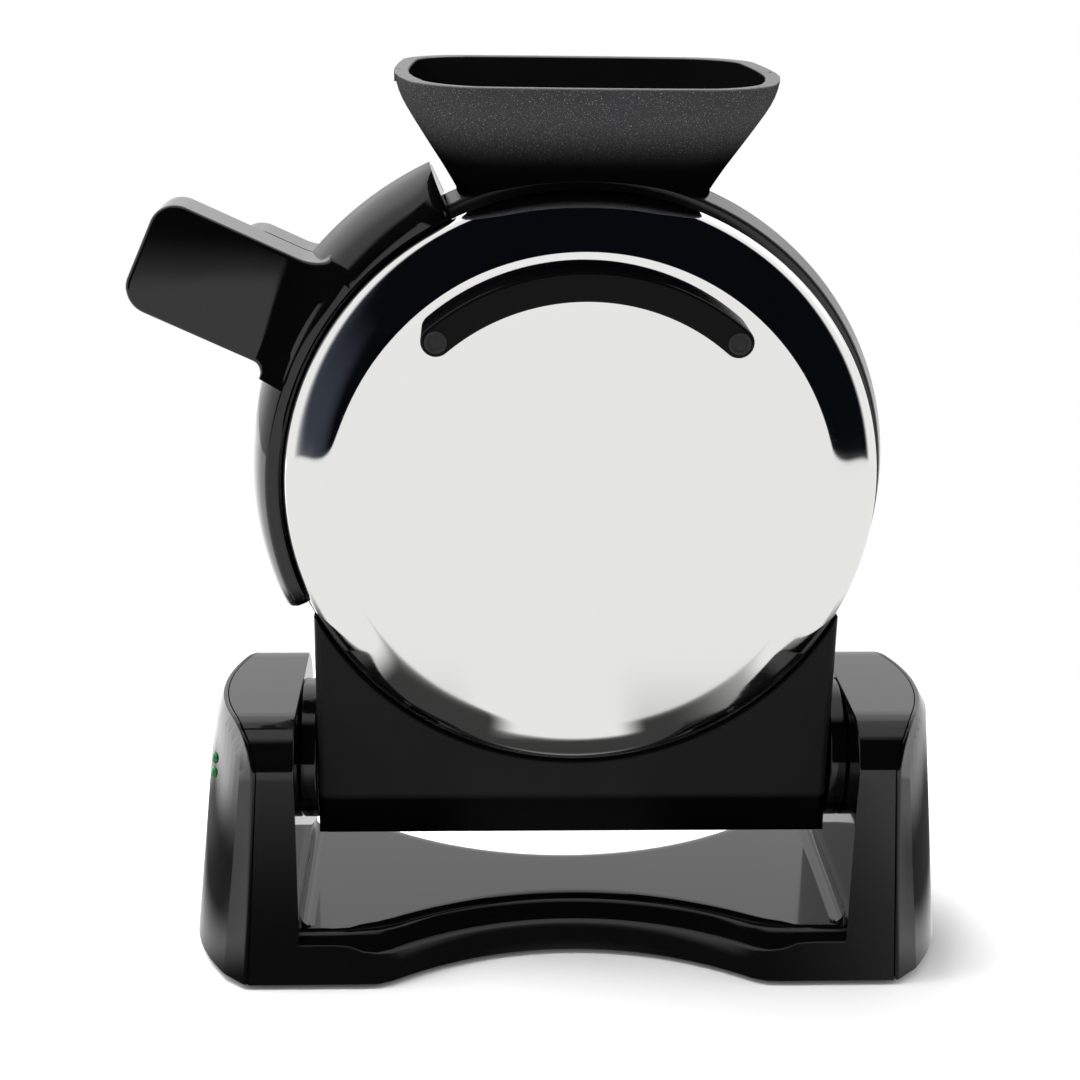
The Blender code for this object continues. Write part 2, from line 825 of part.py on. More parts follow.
def make_bridge_solid():
    curve = bpy.data.curves.new("bridge_outline", "CURVE")
    curve.dimensions = "2D"
    curve.fill_mode = "BOTH"
    top = base_bottom_z + bridge_height
    roll = bridge_roll
    bottom = base_bottom_z - 2 * roll
    curve.extrude = (top - bottom) / 2 - roll
    curve.bevel_depth = roll
    curve.bevel_resolution = 2
    curve.offset = -roll
    line = curve.splines.new("POLY")
    outline = bridge_outline(0.0, post_inner_x + 2 * base_wall + roll)
    line.points.add(len(outline) - 1)
    for place, (x, y) in zip(line.points, outline):
        place.co = (x, y, 0, 1)
    line.use_cyclic_u = True
    drawn = bpy.data.objects.new("bridge_outline", curve)
    cutters.objects.link(drawn)
    drawn.location.z = (top + bottom) / 2
    bpy.context.view_layer.update()
    seen = drawn.evaluated_get(bpy.context.evaluated_depsgraph_get())
    mesh = bpy.data.meshes.new_from_object(seen)
    mesh.transform(drawn.matrix_world)
    bpy.data.objects.remove(drawn)
    bm = bmesh.new()
    bm.from_mesh(mesh)
    bmesh.ops.remove_doubles(bm, verts=bm.verts, dist=0.00002)
    for co, normal in (((0, 0, base_bottom_z), (0, 0, -1)), ((post_inner_x + base_wall / 2, 0, 0), (1, 0, 0)),
                       ((-post_inner_x - base_wall / 2, 0, 0), (-1, 0, 0))):
        everything = bm.verts[:] + bm.edges[:] + bm.faces[:]
        made = bmesh.ops.bisect_plane(bm, geom=everything, plane_co=co, plane_no=normal, clear_outer=True,
                                      dist=0.000001)
        rim = [e for e in made["geom_cut"] if isinstance(e, bmesh.types.BMEdge)]
        bmesh.ops.holes_fill(bm, edges=rim)
    return from_bmesh("bridge_solid", bm)


def post_layers(inset, start, end, floor=None):
    outline = post_outline(inset, floor)
    return [(outline, start, 0.0, seam_slope, seam_bow), (outline, end, 1.0, seam_slope, seam_bow)]


def board_post_places():
    for y in (-1, 1):
        for z in (board_bottom_z + board_post_inset, board_bottom_z + board_height - board_post_inset):
            yield y * (board_half_depth - board_post_inset), z


def make_housing():
    housing = bent_block("base_housing", 1, post_layers(0.0, post_inner_x, seam_x), gloss_black)
    join(housing, bent_block("left_post_solid", -1, post_layers(0.0, post_inner_x, seam_x)))
    join(housing, make_bridge_solid())
    under = base_bottom_z - overrun
    for side, word in ((-1, "left"), (1, "right")):
        layers = post_layers(base_wall, post_inner_x + base_wall, seam_x + overrun, under)
        cut(housing, bent_block(word + "_post_hollow", side, layers))
    hollow = extruded("bridge_hollow", bridge_outline(base_wall, post_inner_x + 2 * base_wall), under,
                      base_bottom_z + bridge_height - base_wall)
    cut(housing, hollow)
    for side, word in ((-1, "left"), (1, "right")):
        cut(housing, hinge_bar(word + "_hub_hole", side, post_inner_x - overrun, post_inner_x + 2 * overrun,
                               hub_spigot_radius + clearance))
    wall = post_inner_x + base_wall
    for i, (y, z) in enumerate(board_post_places()):
        start, end = -wall - board_post_height, -wall + base_wall / 2
        join(housing, cylinder("board_post_%d" % i, "X", start, end, board_post_radius, (y, z), steps=12))
    cut(housing, cylinder("gland_hole", "Y", post_half_depth - 2 * overrun, post_half_depth + overrun,
                          gland_neck_radius + clearance, (-gland_x, gland_z), steps=small_steps))
    return housing


def cap_layers(inset, start, end, bulge_end):
    full = post_outline(inset)
    centre_z = (base_bottom_z + post_top_z) / 2
    half_height = (post_top_z - base_bottom_z) / 2
    fy = 1 - cap_chamfer / post_half_depth
    fz = 1 - cap_chamfer / half_height
    small = [(y * fy, centre_z + (z - centre_z) * fz) for y, z in full]
    return [(full, start, 1.0, seam_slope, seam_bow), (full, end, 1.0, seam_slope, seam_bow),
            (small, bulge_end, 1.0, cap_slope, cap_bow)]


def make_cap(side, word):
    start = seam_x + clearance
    step = start + cap_step
    bulge = seam_x + cap_bulge
    cap = bent_block(word + "_side_cap", side, cap_layers(0.0, start, step, bulge), gloss_black)
    inner = bent_block(word + "_cap_hollow", side,
                       cap_layers(base_wall, start - overrun, step - overrun, bulge - base_wall))
    cut(cap, inner)
    if side < 0:
        for i in range(2):
            z = lens_top_z - i * lens_pitch
            cut(cap, cylinder("lens_hole_%d" % i, "X", -seam_x - 5 * overrun, -seam_x, lens_radius + clearance,
                              (-lens_y, z), steps=small_steps))
    return cap


def cap_surface_x(y, z):
    return seam_x + cap_bulge + seam_offset(y, z, cap_slope, cap_bow)


def make_lens(name, index):
    z = lens_top_z - index * lens_pitch
    face = -cap_surface_x(lens_y, z) - lens_proud
    lens = cylinder(name, "X", face, face + lens_depth, lens_radius, (-lens_y, z), green_lens, small_steps)
    return bevel(lens, lens_proud / 2, 1)


def green_lens(name):
    return material(name, (0.10, 0.45, 0.14), 0.2)


def make_bottom_plate():
    fit = base_wall + clearance
    low = base_bottom_z + clearance
    high = low + bottom_thickness
    plate = extruded("bottom_plate", bridge_outline(fit, post_inner_x + base_wall + 2 * fit), low, high, matte_black)
    half = post_half_depth - fit
    reach = seam_x + seam_offset(half, low, seam_slope, seam_bow) - clearance
    for side, word in ((-1, "left"), (1, "right")):
        xs = sorted((side * (post_inner_x + fit), side * reach))
        join(plate, box("bottom_plate_" + word, (xs[0], -half, low), (xs[1], half, high)))
    return plate


def make_feet(side, word):
    for sign, end in ((-1, "front"), (1, "rear")):
        yield cylinder("%s_%s_rubber_foot" % (word, end), "Z", 0, base_bottom_z, foot_radius,
                       (side * foot_x, sign * foot_y), rubber, small_steps)


def rubber(name):
    return material(name, (0.03, 0.03, 0.03), 0.85)


def make_bottom_screws(side, word):
    low, high = base_bottom_z - screw_head_height, base_bottom_z
    for x, place in ((foot_x, "post"), (bottom_screw_x, "bridge")):
        yield cylinder("%s_%s_screw" % (word, place), "Z", low, high, screw_head_radius, (side * x, 0),
                       bright_metal, 12)


def make_board():
    start = post_inner_x + base_wall + board_post_height + clearance
    end = start + board_thickness
    board = box("control_board", (-end, -board_half_depth, board_bottom_z),
                (-start, board_half_depth, board_bottom_z + board_height), circuit_green)
    half = relay_size / 2
    for i, share in enumerate((0.25, 0.68)):
        z = board_bottom_z + share * board_height
        join(board, box("relay_%d" % i, (-end - half, -half, z - half), (-end + board_thickness / 2, half, z + half)))
    return board


def circuit_green(name):
    return material(name, (0.02, 0.16, 0.07), 0.5)


def make_terminal_block():
    low = base_bottom_z + bottom_thickness + 2 * clearance
    x = post_inner_x + base_wall + clearance
    rear = post_half_depth - terminal_block_back
    block = box("terminal_block", (-x - terminal_block_width, rear - terminal_block_depth, low),
                (-x, rear, low + terminal_block_height), ivory)
    for i in range(3):
        y = rear - terminal_block_depth * (i + 0.5) / 3
        top = low + terminal_block_height
        hole = cylinder("terminal_hole_%d" % i, "Z", top - overrun, top + overrun, terminal_block_width / 4,
                        (-x - terminal_block_width / 2, y), steps=12)
        cut(block, hole)
    return block


def ivory(name):
    return material(name, (0.75, 0.72, 0.62), 0.5)


def make_gland():
    start = post_half_depth + clearance
    gland = cylinder("cord_gland", "Y", start, start + gland_length, gland_radius, (-gland_x, gland_z), rubber)
    inner = post_half_depth - base_wall - clearance
    join(gland, cylinder("gland_neck", "Y", inner, start + gland_length / 2, gland_neck_radius,
                         (-gland_x, gland_z), steps=small_steps))
    cut(gland, cylinder("gland_bore", "Y", inner - overrun, start + gland_length + overrun, gland_bore_radius,
                        (-gland_x, gland_z), steps=small_steps))
    return gland


# Spout

def spout_ring(z, half_width, half_depth, corner):
    # A rounded rectangle that draws in towards its front and rear and bows along its long sides
    outline = rounded_box_outline(half_width, half_depth, corner)
    quarter = len(outline) // 4
    ring = []
    for i, middle in enumerate(((0, half_depth), (-half_width, 0), (0, -half_depth), (half_width, 0))):
        for x, y in outline[i * quarter:(i + 1) * quarter] + [middle]:
            narrow = spout_front_share if y < 0 else spout_rear_share
            ring.append((x * (1 - narrow * (y / half_depth) ** 2),
                         y * (1 - spout_bow_share * (x / half_width) ** 2), z))
    return ring


def mix(a, b, share):
    return a + (b - a) * share


def spout_outer():
    rings = [spout_ring(spout_foot_z - spout_foot_half_depth, spout_foot_half_width, spout_foot_half_depth,
                        spout_foot_corner)]
    for rise, flare in spout_flare_shares:
        rings.append(spout_ring(mix(spout_foot_z, spout_top_z, rise),
                                mix(spout_foot_half_width, spout_half_width, flare),
                                mix(spout_foot_half_depth, spout_half_depth, flare),
                                mix(spout_foot_corner, spout_corner, flare)))
    return rings


def spout_inner():
    top_width = spout_half_width - spout_end_wall
    top_depth = spout_half_depth - spout_side_wall
    top_corner = spout_corner - spout_side_wall
    rings = [spout_ring(spout_foot_z - 2 * spout_foot_half_depth, throat_half_width, throat_half_depth,
                        throat_corner),
             spout_ring(throat_top_z, throat_half_width, throat_half_depth, throat_corner)]
    for rise in (0.25, 0.6, 1.0):
        flare = rise ** 0.75
        rings.append(spout_ring(mix(throat_top_z, spout_top_z, rise), mix(throat_half_width, top_width, flare),
                                mix(throat_half_depth, top_depth, flare), mix(throat_corner, top_corner, flare)))
    rings.append(spout_ring(spout_top_z + overrun, top_width, top_depth, top_corner))
    return rings


def make_spout_half(name, front):
    sign = -1 if front else 1
    spout = loft(name, spout_outer(), matte_black)
    cut(spout, loft(name + "_inner", spout_inner()))
    deep = half_gap + bezel_depth + clearance
    wide = bezel_radius + clearance
    seat = [(0, deep), (bezel_front_radius + clearance, deep), (wide, half_gap), (wide, -overrun), (0, -overrun)]
    cut(spout, seat_half(turned(name + "_bezel_cut", seat, closed=False), front))
    cut(spout, iron_cylinder(name + "_cover_cut", cover_radius + spout_skirt_gap, -cover_face_out, cover_face_out))
    split = -sign * clearance
    ends = sorted((-split, -sign * 2 * spout_half_depth))
    wide = spout_half_width + overrun
    cut(spout, box(name + "_split", (-wide, ends[0], iron_z), (wide, ends[1], spout_top_z + overrun)))
    return spout


# Collar and handle

def collar_radius(degrees):
    # The collar is wider above the handle than below it, and narrows where the handle hides the change
    low, high = collar_narrow_degrees
    share = min(max((degrees - low) / (high - low), 0), 1)
    return mix(collar_upper_radius, collar_lower_radius, share * share * (3 - 2 * share))


def swept_collar(name, profile_at, finish):
    # Sweep a (radius, y) profile round the iron's axis, with the outer radius that each angle has
    rings = []
    for i in range(collar_steps + 1):
        degrees = mix(collar_start_degrees, collar_end_degrees, i / collar_steps)
        angle = radians(degrees)
        rings.append([(r * cos(angle), y, iron_z + r * sin(angle)) for r, y in profile_at(collar_radius(degrees))])
    return loft(name, rings, finish)


def handle_matrix(distance):
    # X runs out along the handle from its root, Y stays front to back, and Z crosses the handle
    tilt = radians(handle_tilt_degrees)
    along = Vector((-cos(tilt), 0, sin(tilt)))
    across = Vector((sin(tilt), 0, cos(tilt)))
    place = Vector((-handle_root_x, 0, iron_z + handle_root_z)) + along * distance
    matrix = Matrix((along, (0, 1, 0), across)).transposed().to_4x4()
    matrix.translation = place
    return matrix


def paddle(name, length, low, high, finish=None):
    half = handle_width / 2
    corner = handle_corner
    fillet = handle_root_fillet
    outline = [(-handle_root_overlap, -half - fillet)]
    outline += arc_points((fillet, -half - fillet), fillet, pi, pi / 2, corner_steps)
    outline += arc_points((length - corner, -half + corner), corner, -pi / 2, 0, corner_steps)
    outline += arc_points((length - corner, half - corner), corner, 0, pi / 2, corner_steps)
    outline += arc_points((fillet, half + fillet), fillet, -pi / 2, -pi, corner_steps)
    outline += [(-handle_root_overlap, half + fillet)]
    thing = extruded(name, outline, low, high, finish, "XZ")
    thing.data.transform(handle_matrix(0))
    thing.data.flip_normals()
    if low < 0:
        bevel(thing, handle_edge)
    return thing


def latch_block(name, outline, half_width, finish=None):
    # An outline of places along the handle and across the iron, counted from the latch's inner side
    bm = bmesh.new()
    face = bm.faces.new([bm.verts.new((u, y, -half_width)) for u, y in outline])
    grown = bmesh.ops.extrude_face_region(bm, geom=[face])
    moved = [g for g in grown["geom"] if isinstance(g, bmesh.types.BMVert)]
    bmesh.ops.translate(bm, verts=moved, vec=(0, 0, 2 * half_width))
    bmesh.ops.transform(bm, verts=bm.verts, matrix=handle_matrix(latch_position))
    return from_bmesh(name, bm, finish)


def latch_box(name, u0, u1, half_width, y0, y1):
    return latch_block(name, [(u0, y0), (u1, y0), (u1, y1), (u0, y1)], half_width)


def make_front_collar():
    bore = bezel_radius + collar_bore_gap
    inner_front = cover_radius + collar_bore_gap
    seat = -(half_gap + bezel_depth + collar_bore_gap)

    def profile_at(radius):
        outer = [(mix(collar_front_radius, radius, wide), mix(-collar_front_out, -half_gap, deep))
                 for deep, wide in collar_flare_shares]
        return [(inner_front, -collar_front_out), *outer, (bore, -half_gap), (bore, seat), (inner_front, seat)]

    collar = swept_collar("front_handle", profile_at, gloss_black)
    join(collar, paddle("front_paddle", handle_length, -handle_front_out, -half_gap))
    pocket = latch_box("latch_pocket", -2 * clearance, latch_stem + latch_travel + 2 * clearance,
                       latch_width / 2 + 2 * clearance, -half_gap - latch_pocket_depth, overrun)
    return cut(collar, pocket)


def make_rear_collar():
    bore = bezel_radius + collar_bore_gap
    back = half_gap + rear_collar_depth

    def profile_at(radius):
        outer = radius - rear_collar_step
        return [(bore, half_gap), (outer, half_gap), (outer, back), (bore, back)]

    collar = swept_collar("rear_handle", profile_at, gloss_black)
    join(collar, paddle("rear_paddle", rear_handle_length, half_gap, half_gap + rear_handle_depth))
    half = latch_width / 2 + clearance
    slot = latch_box("latch_slot", -clearance, latch_stem + latch_travel + clearance, half, -overrun,
                     half_gap + rear_handle_depth + overrun)
    return cut(collar, slot)


def make_latch():
    back = half_gap + rear_handle_depth
    tip = -half_gap - latch_reach
    top = back + latch_button_depth / 2
    outline = [(0, tip), (latch_stem, tip), (latch_stem, top), (0, top)]
    latch = latch_block("latch_slide", outline, latch_width / 2, matte_black)
    middle = latch_stem / 2
    button = latch_box("latch_button", middle - latch_button_length / 2, middle + latch_button_length / 2,
                       latch_button_width / 2, back + clearance, back + clearance + latch_button_depth)
    return join(latch, button)


# Foot bar on the front cover

def make_bar():
    half = radians(bar_half_degrees)
    inner = bar_radius - bar_width / 2
    outer = bar_radius + bar_width / 2
    middle = pi / 2
    outline = arc_points((0, 0), outer, middle - half, middle + half, 16)
    left = (bar_radius * cos(middle + half), bar_radius * sin(middle + half))
    outline += arc_points(left, bar_width / 2, middle + half, middle + half + pi, 6)[1:-1]
    outline += arc_points((0, 0), inner, middle + half, middle - half, 16)
    right = (bar_radius * cos(middle - half), bar_radius * sin(middle - half))
    outline += arc_points(right, bar_width / 2, middle - half - pi, middle - half, 6)[1:-1]
    low = cover_face_out + clearance
    bar = seat_half(extruded("foot_bar", outline, low, low + bar_height, matte_black), True)
    return bar


def make_pad(side, word):
    top = cover_face_out + clearance + bar_height + clearance
    half = radians(bar_half_degrees)
    place = (side * bar_radius * sin(half), bar_radius * cos(half))
    pad = cylinder(word + "_bar_pad", "Z", top, top + pad_height, pad_radius, place, rubber, small_steps)
    return seat_half(pad, True)


# Assembly

def pivot(name, place):
    empty = bpy.data.objects.new(name, None)
    parts.objects.link(empty)
    empty.location = place
    return empty


def carry(empty, things):
    bpy.context.view_layer.update()
    for thing in things:
        thing.parent = empty
        thing.matrix_parent_inverse = empty.matrix_world.inverted()


def middle_offset():
    # How far the handle reaches past the right side cap, halved
    tilt = radians(handle_tilt_degrees)
    half = handle_width / 2 - handle_corner
    handle_reach = handle_root_x + cos(tilt) * (handle_length - handle_corner) + sin(tilt) * half + handle_corner
    cap_reach = cap_surface_x(0, base_bottom_z + cap_chamfer)
    return (handle_reach - cap_reach) / 2


front_half = [
    make_cover("front_cover", True),
    make_bezel("front_bezel", True),
    make_plate("front_baking_plate", True),
    make_element("front_heating_element", True),
    make_shield("front_heat_shield", True),
    make_spout_half("front_spout_half", True),
    make_cradle(),
    make_cradle_back(),
    make_front_collar(),
    make_bar(),
    *both_sides(make_pad),
]
rear_half = [
    make_cover("rear_cover", False),
    make_bezel("rear_bezel", False),
    make_plate("rear_baking_plate", False),
    make_element("rear_heating_element", False),
    make_shield("rear_heat_shield", False),
    make_spout_half("rear_spout_half", False),
    make_rear_collar(),
    make_thermostat(),
    make_fuse(),
    *both_sides(make_bracket),
    *rows_on_both_sides(make_bracket_screws),
]
base = [
    make_housing(),
    *both_sides(make_cap),
    *both_sides(make_hub),
    *both_sides(make_pin),
    make_bottom_plate(),
    *rows_on_both_sides(make_feet),
    *rows_on_both_sides(make_bottom_screws),
    make_board(),
    make_terminal_block(),
    make_gland(),
    make_lens("power_lens", 0),
    make_lens("ready_lens", 1),
]
latch = make_latch()

carry(pivot("front_hinge", (0, 0, hinge_z)), front_half)
carry(pivot("latch_guide", handle_matrix(latch_position).translation), [latch])

# The whole part stands with the middle of its length and depth over the origin
table_centre = pivot("table_centre", (0, 0, 0))
carry(table_centre, [thing for thing in bpy.data.objects if thing.parent is None and thing is not table_centre])
table_centre.location.x = middle_offset()
bpy.context.view_layer.update()
print("parts:", len([thing for thing in parts.objects if thing.type != "EMPTY"]))
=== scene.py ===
import json
from math import atan, cos, degrees, hypot, pi, radians, sin, sqrt, tan

import bmesh
import bpy
from mathutils import Matrix, Vector


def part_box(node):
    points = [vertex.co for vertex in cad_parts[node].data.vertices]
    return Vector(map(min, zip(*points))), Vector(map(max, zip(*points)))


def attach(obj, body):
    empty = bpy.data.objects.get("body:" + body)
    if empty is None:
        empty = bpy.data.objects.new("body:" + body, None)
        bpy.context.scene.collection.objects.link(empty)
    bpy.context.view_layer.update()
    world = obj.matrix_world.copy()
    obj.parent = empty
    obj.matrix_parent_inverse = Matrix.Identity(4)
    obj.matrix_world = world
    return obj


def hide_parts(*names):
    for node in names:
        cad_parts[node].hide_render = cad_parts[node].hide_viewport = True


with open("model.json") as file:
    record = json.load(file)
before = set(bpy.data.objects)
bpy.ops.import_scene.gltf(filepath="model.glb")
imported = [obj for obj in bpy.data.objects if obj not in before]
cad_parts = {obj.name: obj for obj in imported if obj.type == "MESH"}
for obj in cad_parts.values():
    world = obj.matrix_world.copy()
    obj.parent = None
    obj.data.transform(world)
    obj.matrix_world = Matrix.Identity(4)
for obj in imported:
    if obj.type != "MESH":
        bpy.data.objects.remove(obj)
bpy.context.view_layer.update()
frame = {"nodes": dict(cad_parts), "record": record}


def middleOf(node):
    low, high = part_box(node)
    return (low + high) / 2


iron = middleOf("front_cover")
midX = iron.x
ironZ = iron.z
hingeZ = middleOf("left_hinge_hub").z
snug = 0.0003  # gap between pieces that sit in each other
past = 0.004  # how far a cutter runs out of what it cuts
same = 0.0001  # places this close are one place
sharp = 0.6  # edges bent by more radians than this are corners
print("frame loaded, iron axis at x %.4f z %.4f" % (midX, ironZ))


# Ways to model, kept as one would do them by hand

def onlySelect(*pieces):
    bpy.ops.object.select_all(action="DESELECT")
    for piece in pieces:
        piece.select_set(True)
    if pieces:
        bpy.context.view_layer.objects.active = pieces[0]


def opened(piece, choice="SELECT"):
    # Into edit mode, with all of the piece selected or nothing
    onlySelect(piece)
    bpy.ops.object.mode_set(mode="EDIT")
    bpy.ops.mesh.select_all(action=choice)
    return bmesh.from_edit_mesh(piece.data)


def closed(piece):
    bpy.ops.object.mode_set(mode="OBJECT")
    return piece


def skinRings(name, rings, ends="caps"):
    # A circle is bent into the first ring and each extrude into the next one
    onlySelect()
    fill = "NGON" if ends == "caps" else "NOTHING"
    bpy.ops.mesh.primitive_circle_add(vertices=len(rings[0]), fill_type=fill)
    piece = bpy.context.object
    piece.name = piece.data.name = name
    bm = opened(piece)
    order = bm.verts.layers.int.new("order")
    for i, vert in enumerate(bm.verts):
        vert[order] = i
    path = rings + rings[:1] if ends == "loop" else rings
    for n, ring in enumerate(path):
        if n:
            bpy.ops.mesh.extrude_region_move()
        bm = bmesh.from_edit_mesh(piece.data)
        order = bm.verts.layers.int["order"]
        for vert in bm.verts:
            if vert.select:
                vert.co = ring[vert[order]]
    bmesh.update_edit_mesh(piece.data)
    closed(piece)
    piece.data.attributes.remove(piece.data.attributes["order"])
    return tidyMesh(piece)


def tidyMesh(piece):
    opened(piece)
    bpy.ops.mesh.remove_doubles(threshold=0.000002)
    bpy.ops.mesh.normals_make_consistent(inside=False)
    return closed(piece)


def applied(piece, kind, **settings):
    onlySelect(piece)
    step = piece.modifiers.new(kind.title(), kind)
    for name, value in settings.items():
        setattr(step, name, value)
    bpy.ops.object.modifier_apply(modifier=step.name)
    return piece


def combine(piece, operation, *tools):
    for tool in tools:
        applied(piece, "BOOLEAN", operation=operation, solver="EXACT", object=tool)
        bpy.data.objects.remove(tool)
    return piece


def carve(piece, *tools):
    return combine(piece, "DIFFERENCE", *tools)


def weld(piece, *tools):
    return combine(piece, "UNION", *tools)


def block(name, low, high):
    # A box between two opposite corners
    onlySelect()
    size = [abs(b - a) for a, b in zip(low, high)]
    place = [(a + b) / 2 for a, b in zip(low, high)]
    bpy.ops.mesh.primitive_cube_add(size=1, location=place, scale=size)
    piece = bpy.context.object
    piece.name = piece.data.name = name
    bpy.ops.object.transform_apply(location=True, rotation=True, scale=True)
    return piece


def roundEdges(piece, width, segments, test):
    # Bevels only the edges that pass the test
    opened(piece, "DESELECT")
    bpy.ops.mesh.select_mode(type="EDGE")
    bm = bmesh.from_edit_mesh(piece.data)
    for edge in bm.edges:
        if test(edge):
            edge.select = True
    bm.select_flush_mode()
    bmesh.update_edit_mesh(piece.data)
    bpy.ops.mesh.bevel(offset=width, segments=segments, profile=0.5, affect="EDGES", clamp_overlap=False)
    bpy.ops.mesh.select_mode(type="VERT")
    return closed(piece)


def slicePiece(piece, places, normal):
    opened(piece)
    for place in places:
        bpy.ops.mesh.select_all(action="SELECT")
        bpy.ops.mesh.bisect(plane_co=place, plane_no=normal, threshold=0.000001)
    return closed(piece)


def softEdges(piece, width, segments, degrees):
    return applied(piece, "BEVEL", width=width, segments=segments, limit_method="ANGLE",
                   angle_limit=radians(degrees), use_clamp_overlap=True, harden_normals=False)


def levelEdge(edge, reading, level, slack=same):
    # Whether a reading is at one level at both ends of an edge
    return all(abs(reading(v.co) - level) < slack for v in edge.verts)


def sideways(co):
    return abs(co.x - midX)


def depth(co):
    return co.y


def outwards(co):
    return abs(co.y)


def height(co):
    return co.z


replacedNodes = set()


def dress(piece, body, slot, node, degrees=30, finish=None):
    # Shades the piece, gives it its finish and body, and lets it stand for its CAD node
    tidyMesh(piece)
    bpy.ops.object.shade_smooth_by_angle(angle=radians(degrees))
    applied(piece, "WEIGHTED_NORMAL", keep_sharp=True, mode="FACE_AREA_WITH_ANGLE", weight=50)
    piece.data.materials.clear()
    piece.data.materials.append(finishes[finish or slot])
    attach(piece, body)
    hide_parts(node)
    replacedNodes.add(node)


def frontOf(a, b, out):
    return Vector((midX + a, -out, ironZ + b))


def rearOf(a, b, out):
    return Vector((midX + a, out, ironZ + b))


def leftOf(a, b, out):
    return Vector((midX - out, a, hingeZ + b))


def rightOf(a, b, out):
    return Vector((midX + out, a, hingeZ + b))


def turned(name, profile, place, steps=128, ends="caps"):
    angles = [2 * pi * i / steps for i in range(steps)]
    rings = [[place(r * cos(t), r * sin(t), out) for t in angles] for r, out in profile]
    return skinRings(name, rings, ends)


def rod(name, radius, start, end, place, steps=48):
    return turned(name, [(radius, start), (radius, end)], place, steps)


def arcPoints(centre, radius, start, end, steps):
    turns = [radians(start + (end - start) * i / steps) for i in range(steps + 1)]
    return [(centre[0] + radius * cos(t), centre[1] + radius * sin(t)) for t in turns]


def mix(a, b, share):
    return a + (b - a) * share


def clamped(share):
    return min(max(share, 0), 1)


def eased(share):
    share = clamped(share)
    return share * share * (3 - 2 * share)


def smoothAt(table, t):
    # Reads a table of (t, value) along a smooth curve through its points
    last = len(table) - 1
    i = max(k for k in range(last) if k == 0 or table[k][0] <= t)
    (t0, v0), (t1, v1) = table[i], table[i + 1]
    before = table[max(i - 1, 0)]
    after = table[min(i + 2, last)]
    slope0 = (v1 - before[1]) / (t1 - before[0])
    slope1 = (after[1] - v0) / (after[0] - t0)
    s = (t - t0) / (t1 - t0)
    wide = t1 - t0
    return ((2 * s ** 3 - 3 * s ** 2 + 1) * v0 + (s ** 3 - 2 * s ** 2 + s) * wide * slope0
            + (3 * s ** 2 - 2 * s ** 3) * v1 + (s ** 3 - s ** 2) * wide * slope1)


# Finishes

class Value:
    # A shader socket that can be used in sums
    def __init__(self, tree, socket):
        self.tree = tree
        self.socket = socket

    def sum(self, word, a, b):
        return self.tree.node("ShaderNodeMath", {"operation": word}, {0: a, 1: b})

    def __add__(self, other):
        return self.sum("ADD", self, other)

    __radd__ = __add__

    def __mul__(self, other):
        return self.sum("MULTIPLY", self, other)

    __rmul__ = __mul__

    def __sub__(self, other):
        return self.sum("SUBTRACT", self, other)

    def __rsub__(self, other):
        return self.sum("SUBTRACT", other, self)

    def __truediv__(self, other):
        return self.sum("DIVIDE", self, other)

    def __pow__(self, other):
        return self.sum("POWER", self, other)

    def __abs__(self):
        return self.sum("ABSOLUTE", self, 0)


class NodeTree:
    # One material's or world's nodes
    def __init__(self, owner):
        owner.use_nodes = True
        self.nodes = owner.node_tree.nodes
        self.links = owner.node_tree.links

    def node(self, kind, settings=None, sockets=None, out=0):
        made = self.nodes.new(kind)
        for name, value in (settings or {}).items():
            setattr(made, name, value)
        for name, value in (sockets or {}).items():
            self.feed(made.inputs[name], value)
        return Value(self, made.outputs[out])

    def feed(self, socket, value):
        if isinstance(value, Value):
            self.links.new(value.socket, socket)
        else:
            socket.default_value = value

    def axes(self, kind=3):
        # The x, y and z of a Texture Coordinate output: 3 is the object's own place, 1 the normal
        spot = self.node("ShaderNodeTexCoord", out=kind)
        split = self.node("ShaderNodeSeparateXYZ", {}, {0: spot}).socket.node
        return [Value(self, socket) for socket in split.outputs]

    def noise(self, scale, detail, stretch=(1, 1, 1)):
        spot = self.node("ShaderNodeTexCoord", out=3)
        spot = self.node("ShaderNodeMapping", {}, {"Vector": spot, "Scale": stretch})
        return self.node("ShaderNodeTexNoise", {}, {"Vector": spot, "Scale": scale, "Detail": detail})

    def remap(self, value, low, high, newLow, newHigh):
        return self.node("ShaderNodeMapRange", {"interpolation_type": "SMOOTHSTEP"},
                         {"Value": value, "From Min": low, "From Max": high, "To Min": newLow, "To Max": newHigh})

    def rising(self, value, ends):
        return self.remap(value, *ends, 0, 1)

    def falling(self, value, ends):
        return self.remap(value, *ends, 1, 0)

    def blend(self, share, a, b):
        # Colours sit on the Mix node's seventh and eighth inputs
        return self.node("ShaderNodeMix", {"data_type": "RGBA"}, {0: share, 6: a, 7: b}, out=2)

    def twoTone(self, share, s):
        return self.blend(share, grey(s["dark"], s["tint"]), grey(s["light"], s["tint"]))

    def light(self, kind, strength=1.0, colour=(1, 1, 1, 1)):
        return self.node(kind, {}, {"Color": colour, "Strength": strength})

    def either(self, share, a, b):
        return self.node("ShaderNodeMixShader", {}, {0: share, 1: a, 2: b})

    def ray(self, out):
        # Light Path: 0 is a camera ray, 3 a glossy one and 6 a transmitted one
        return self.node("ShaderNodeLightPath", out=out)


def grey(level, tint=(1, 1, 1)):
    return (*(level * part for part in tint), 1)


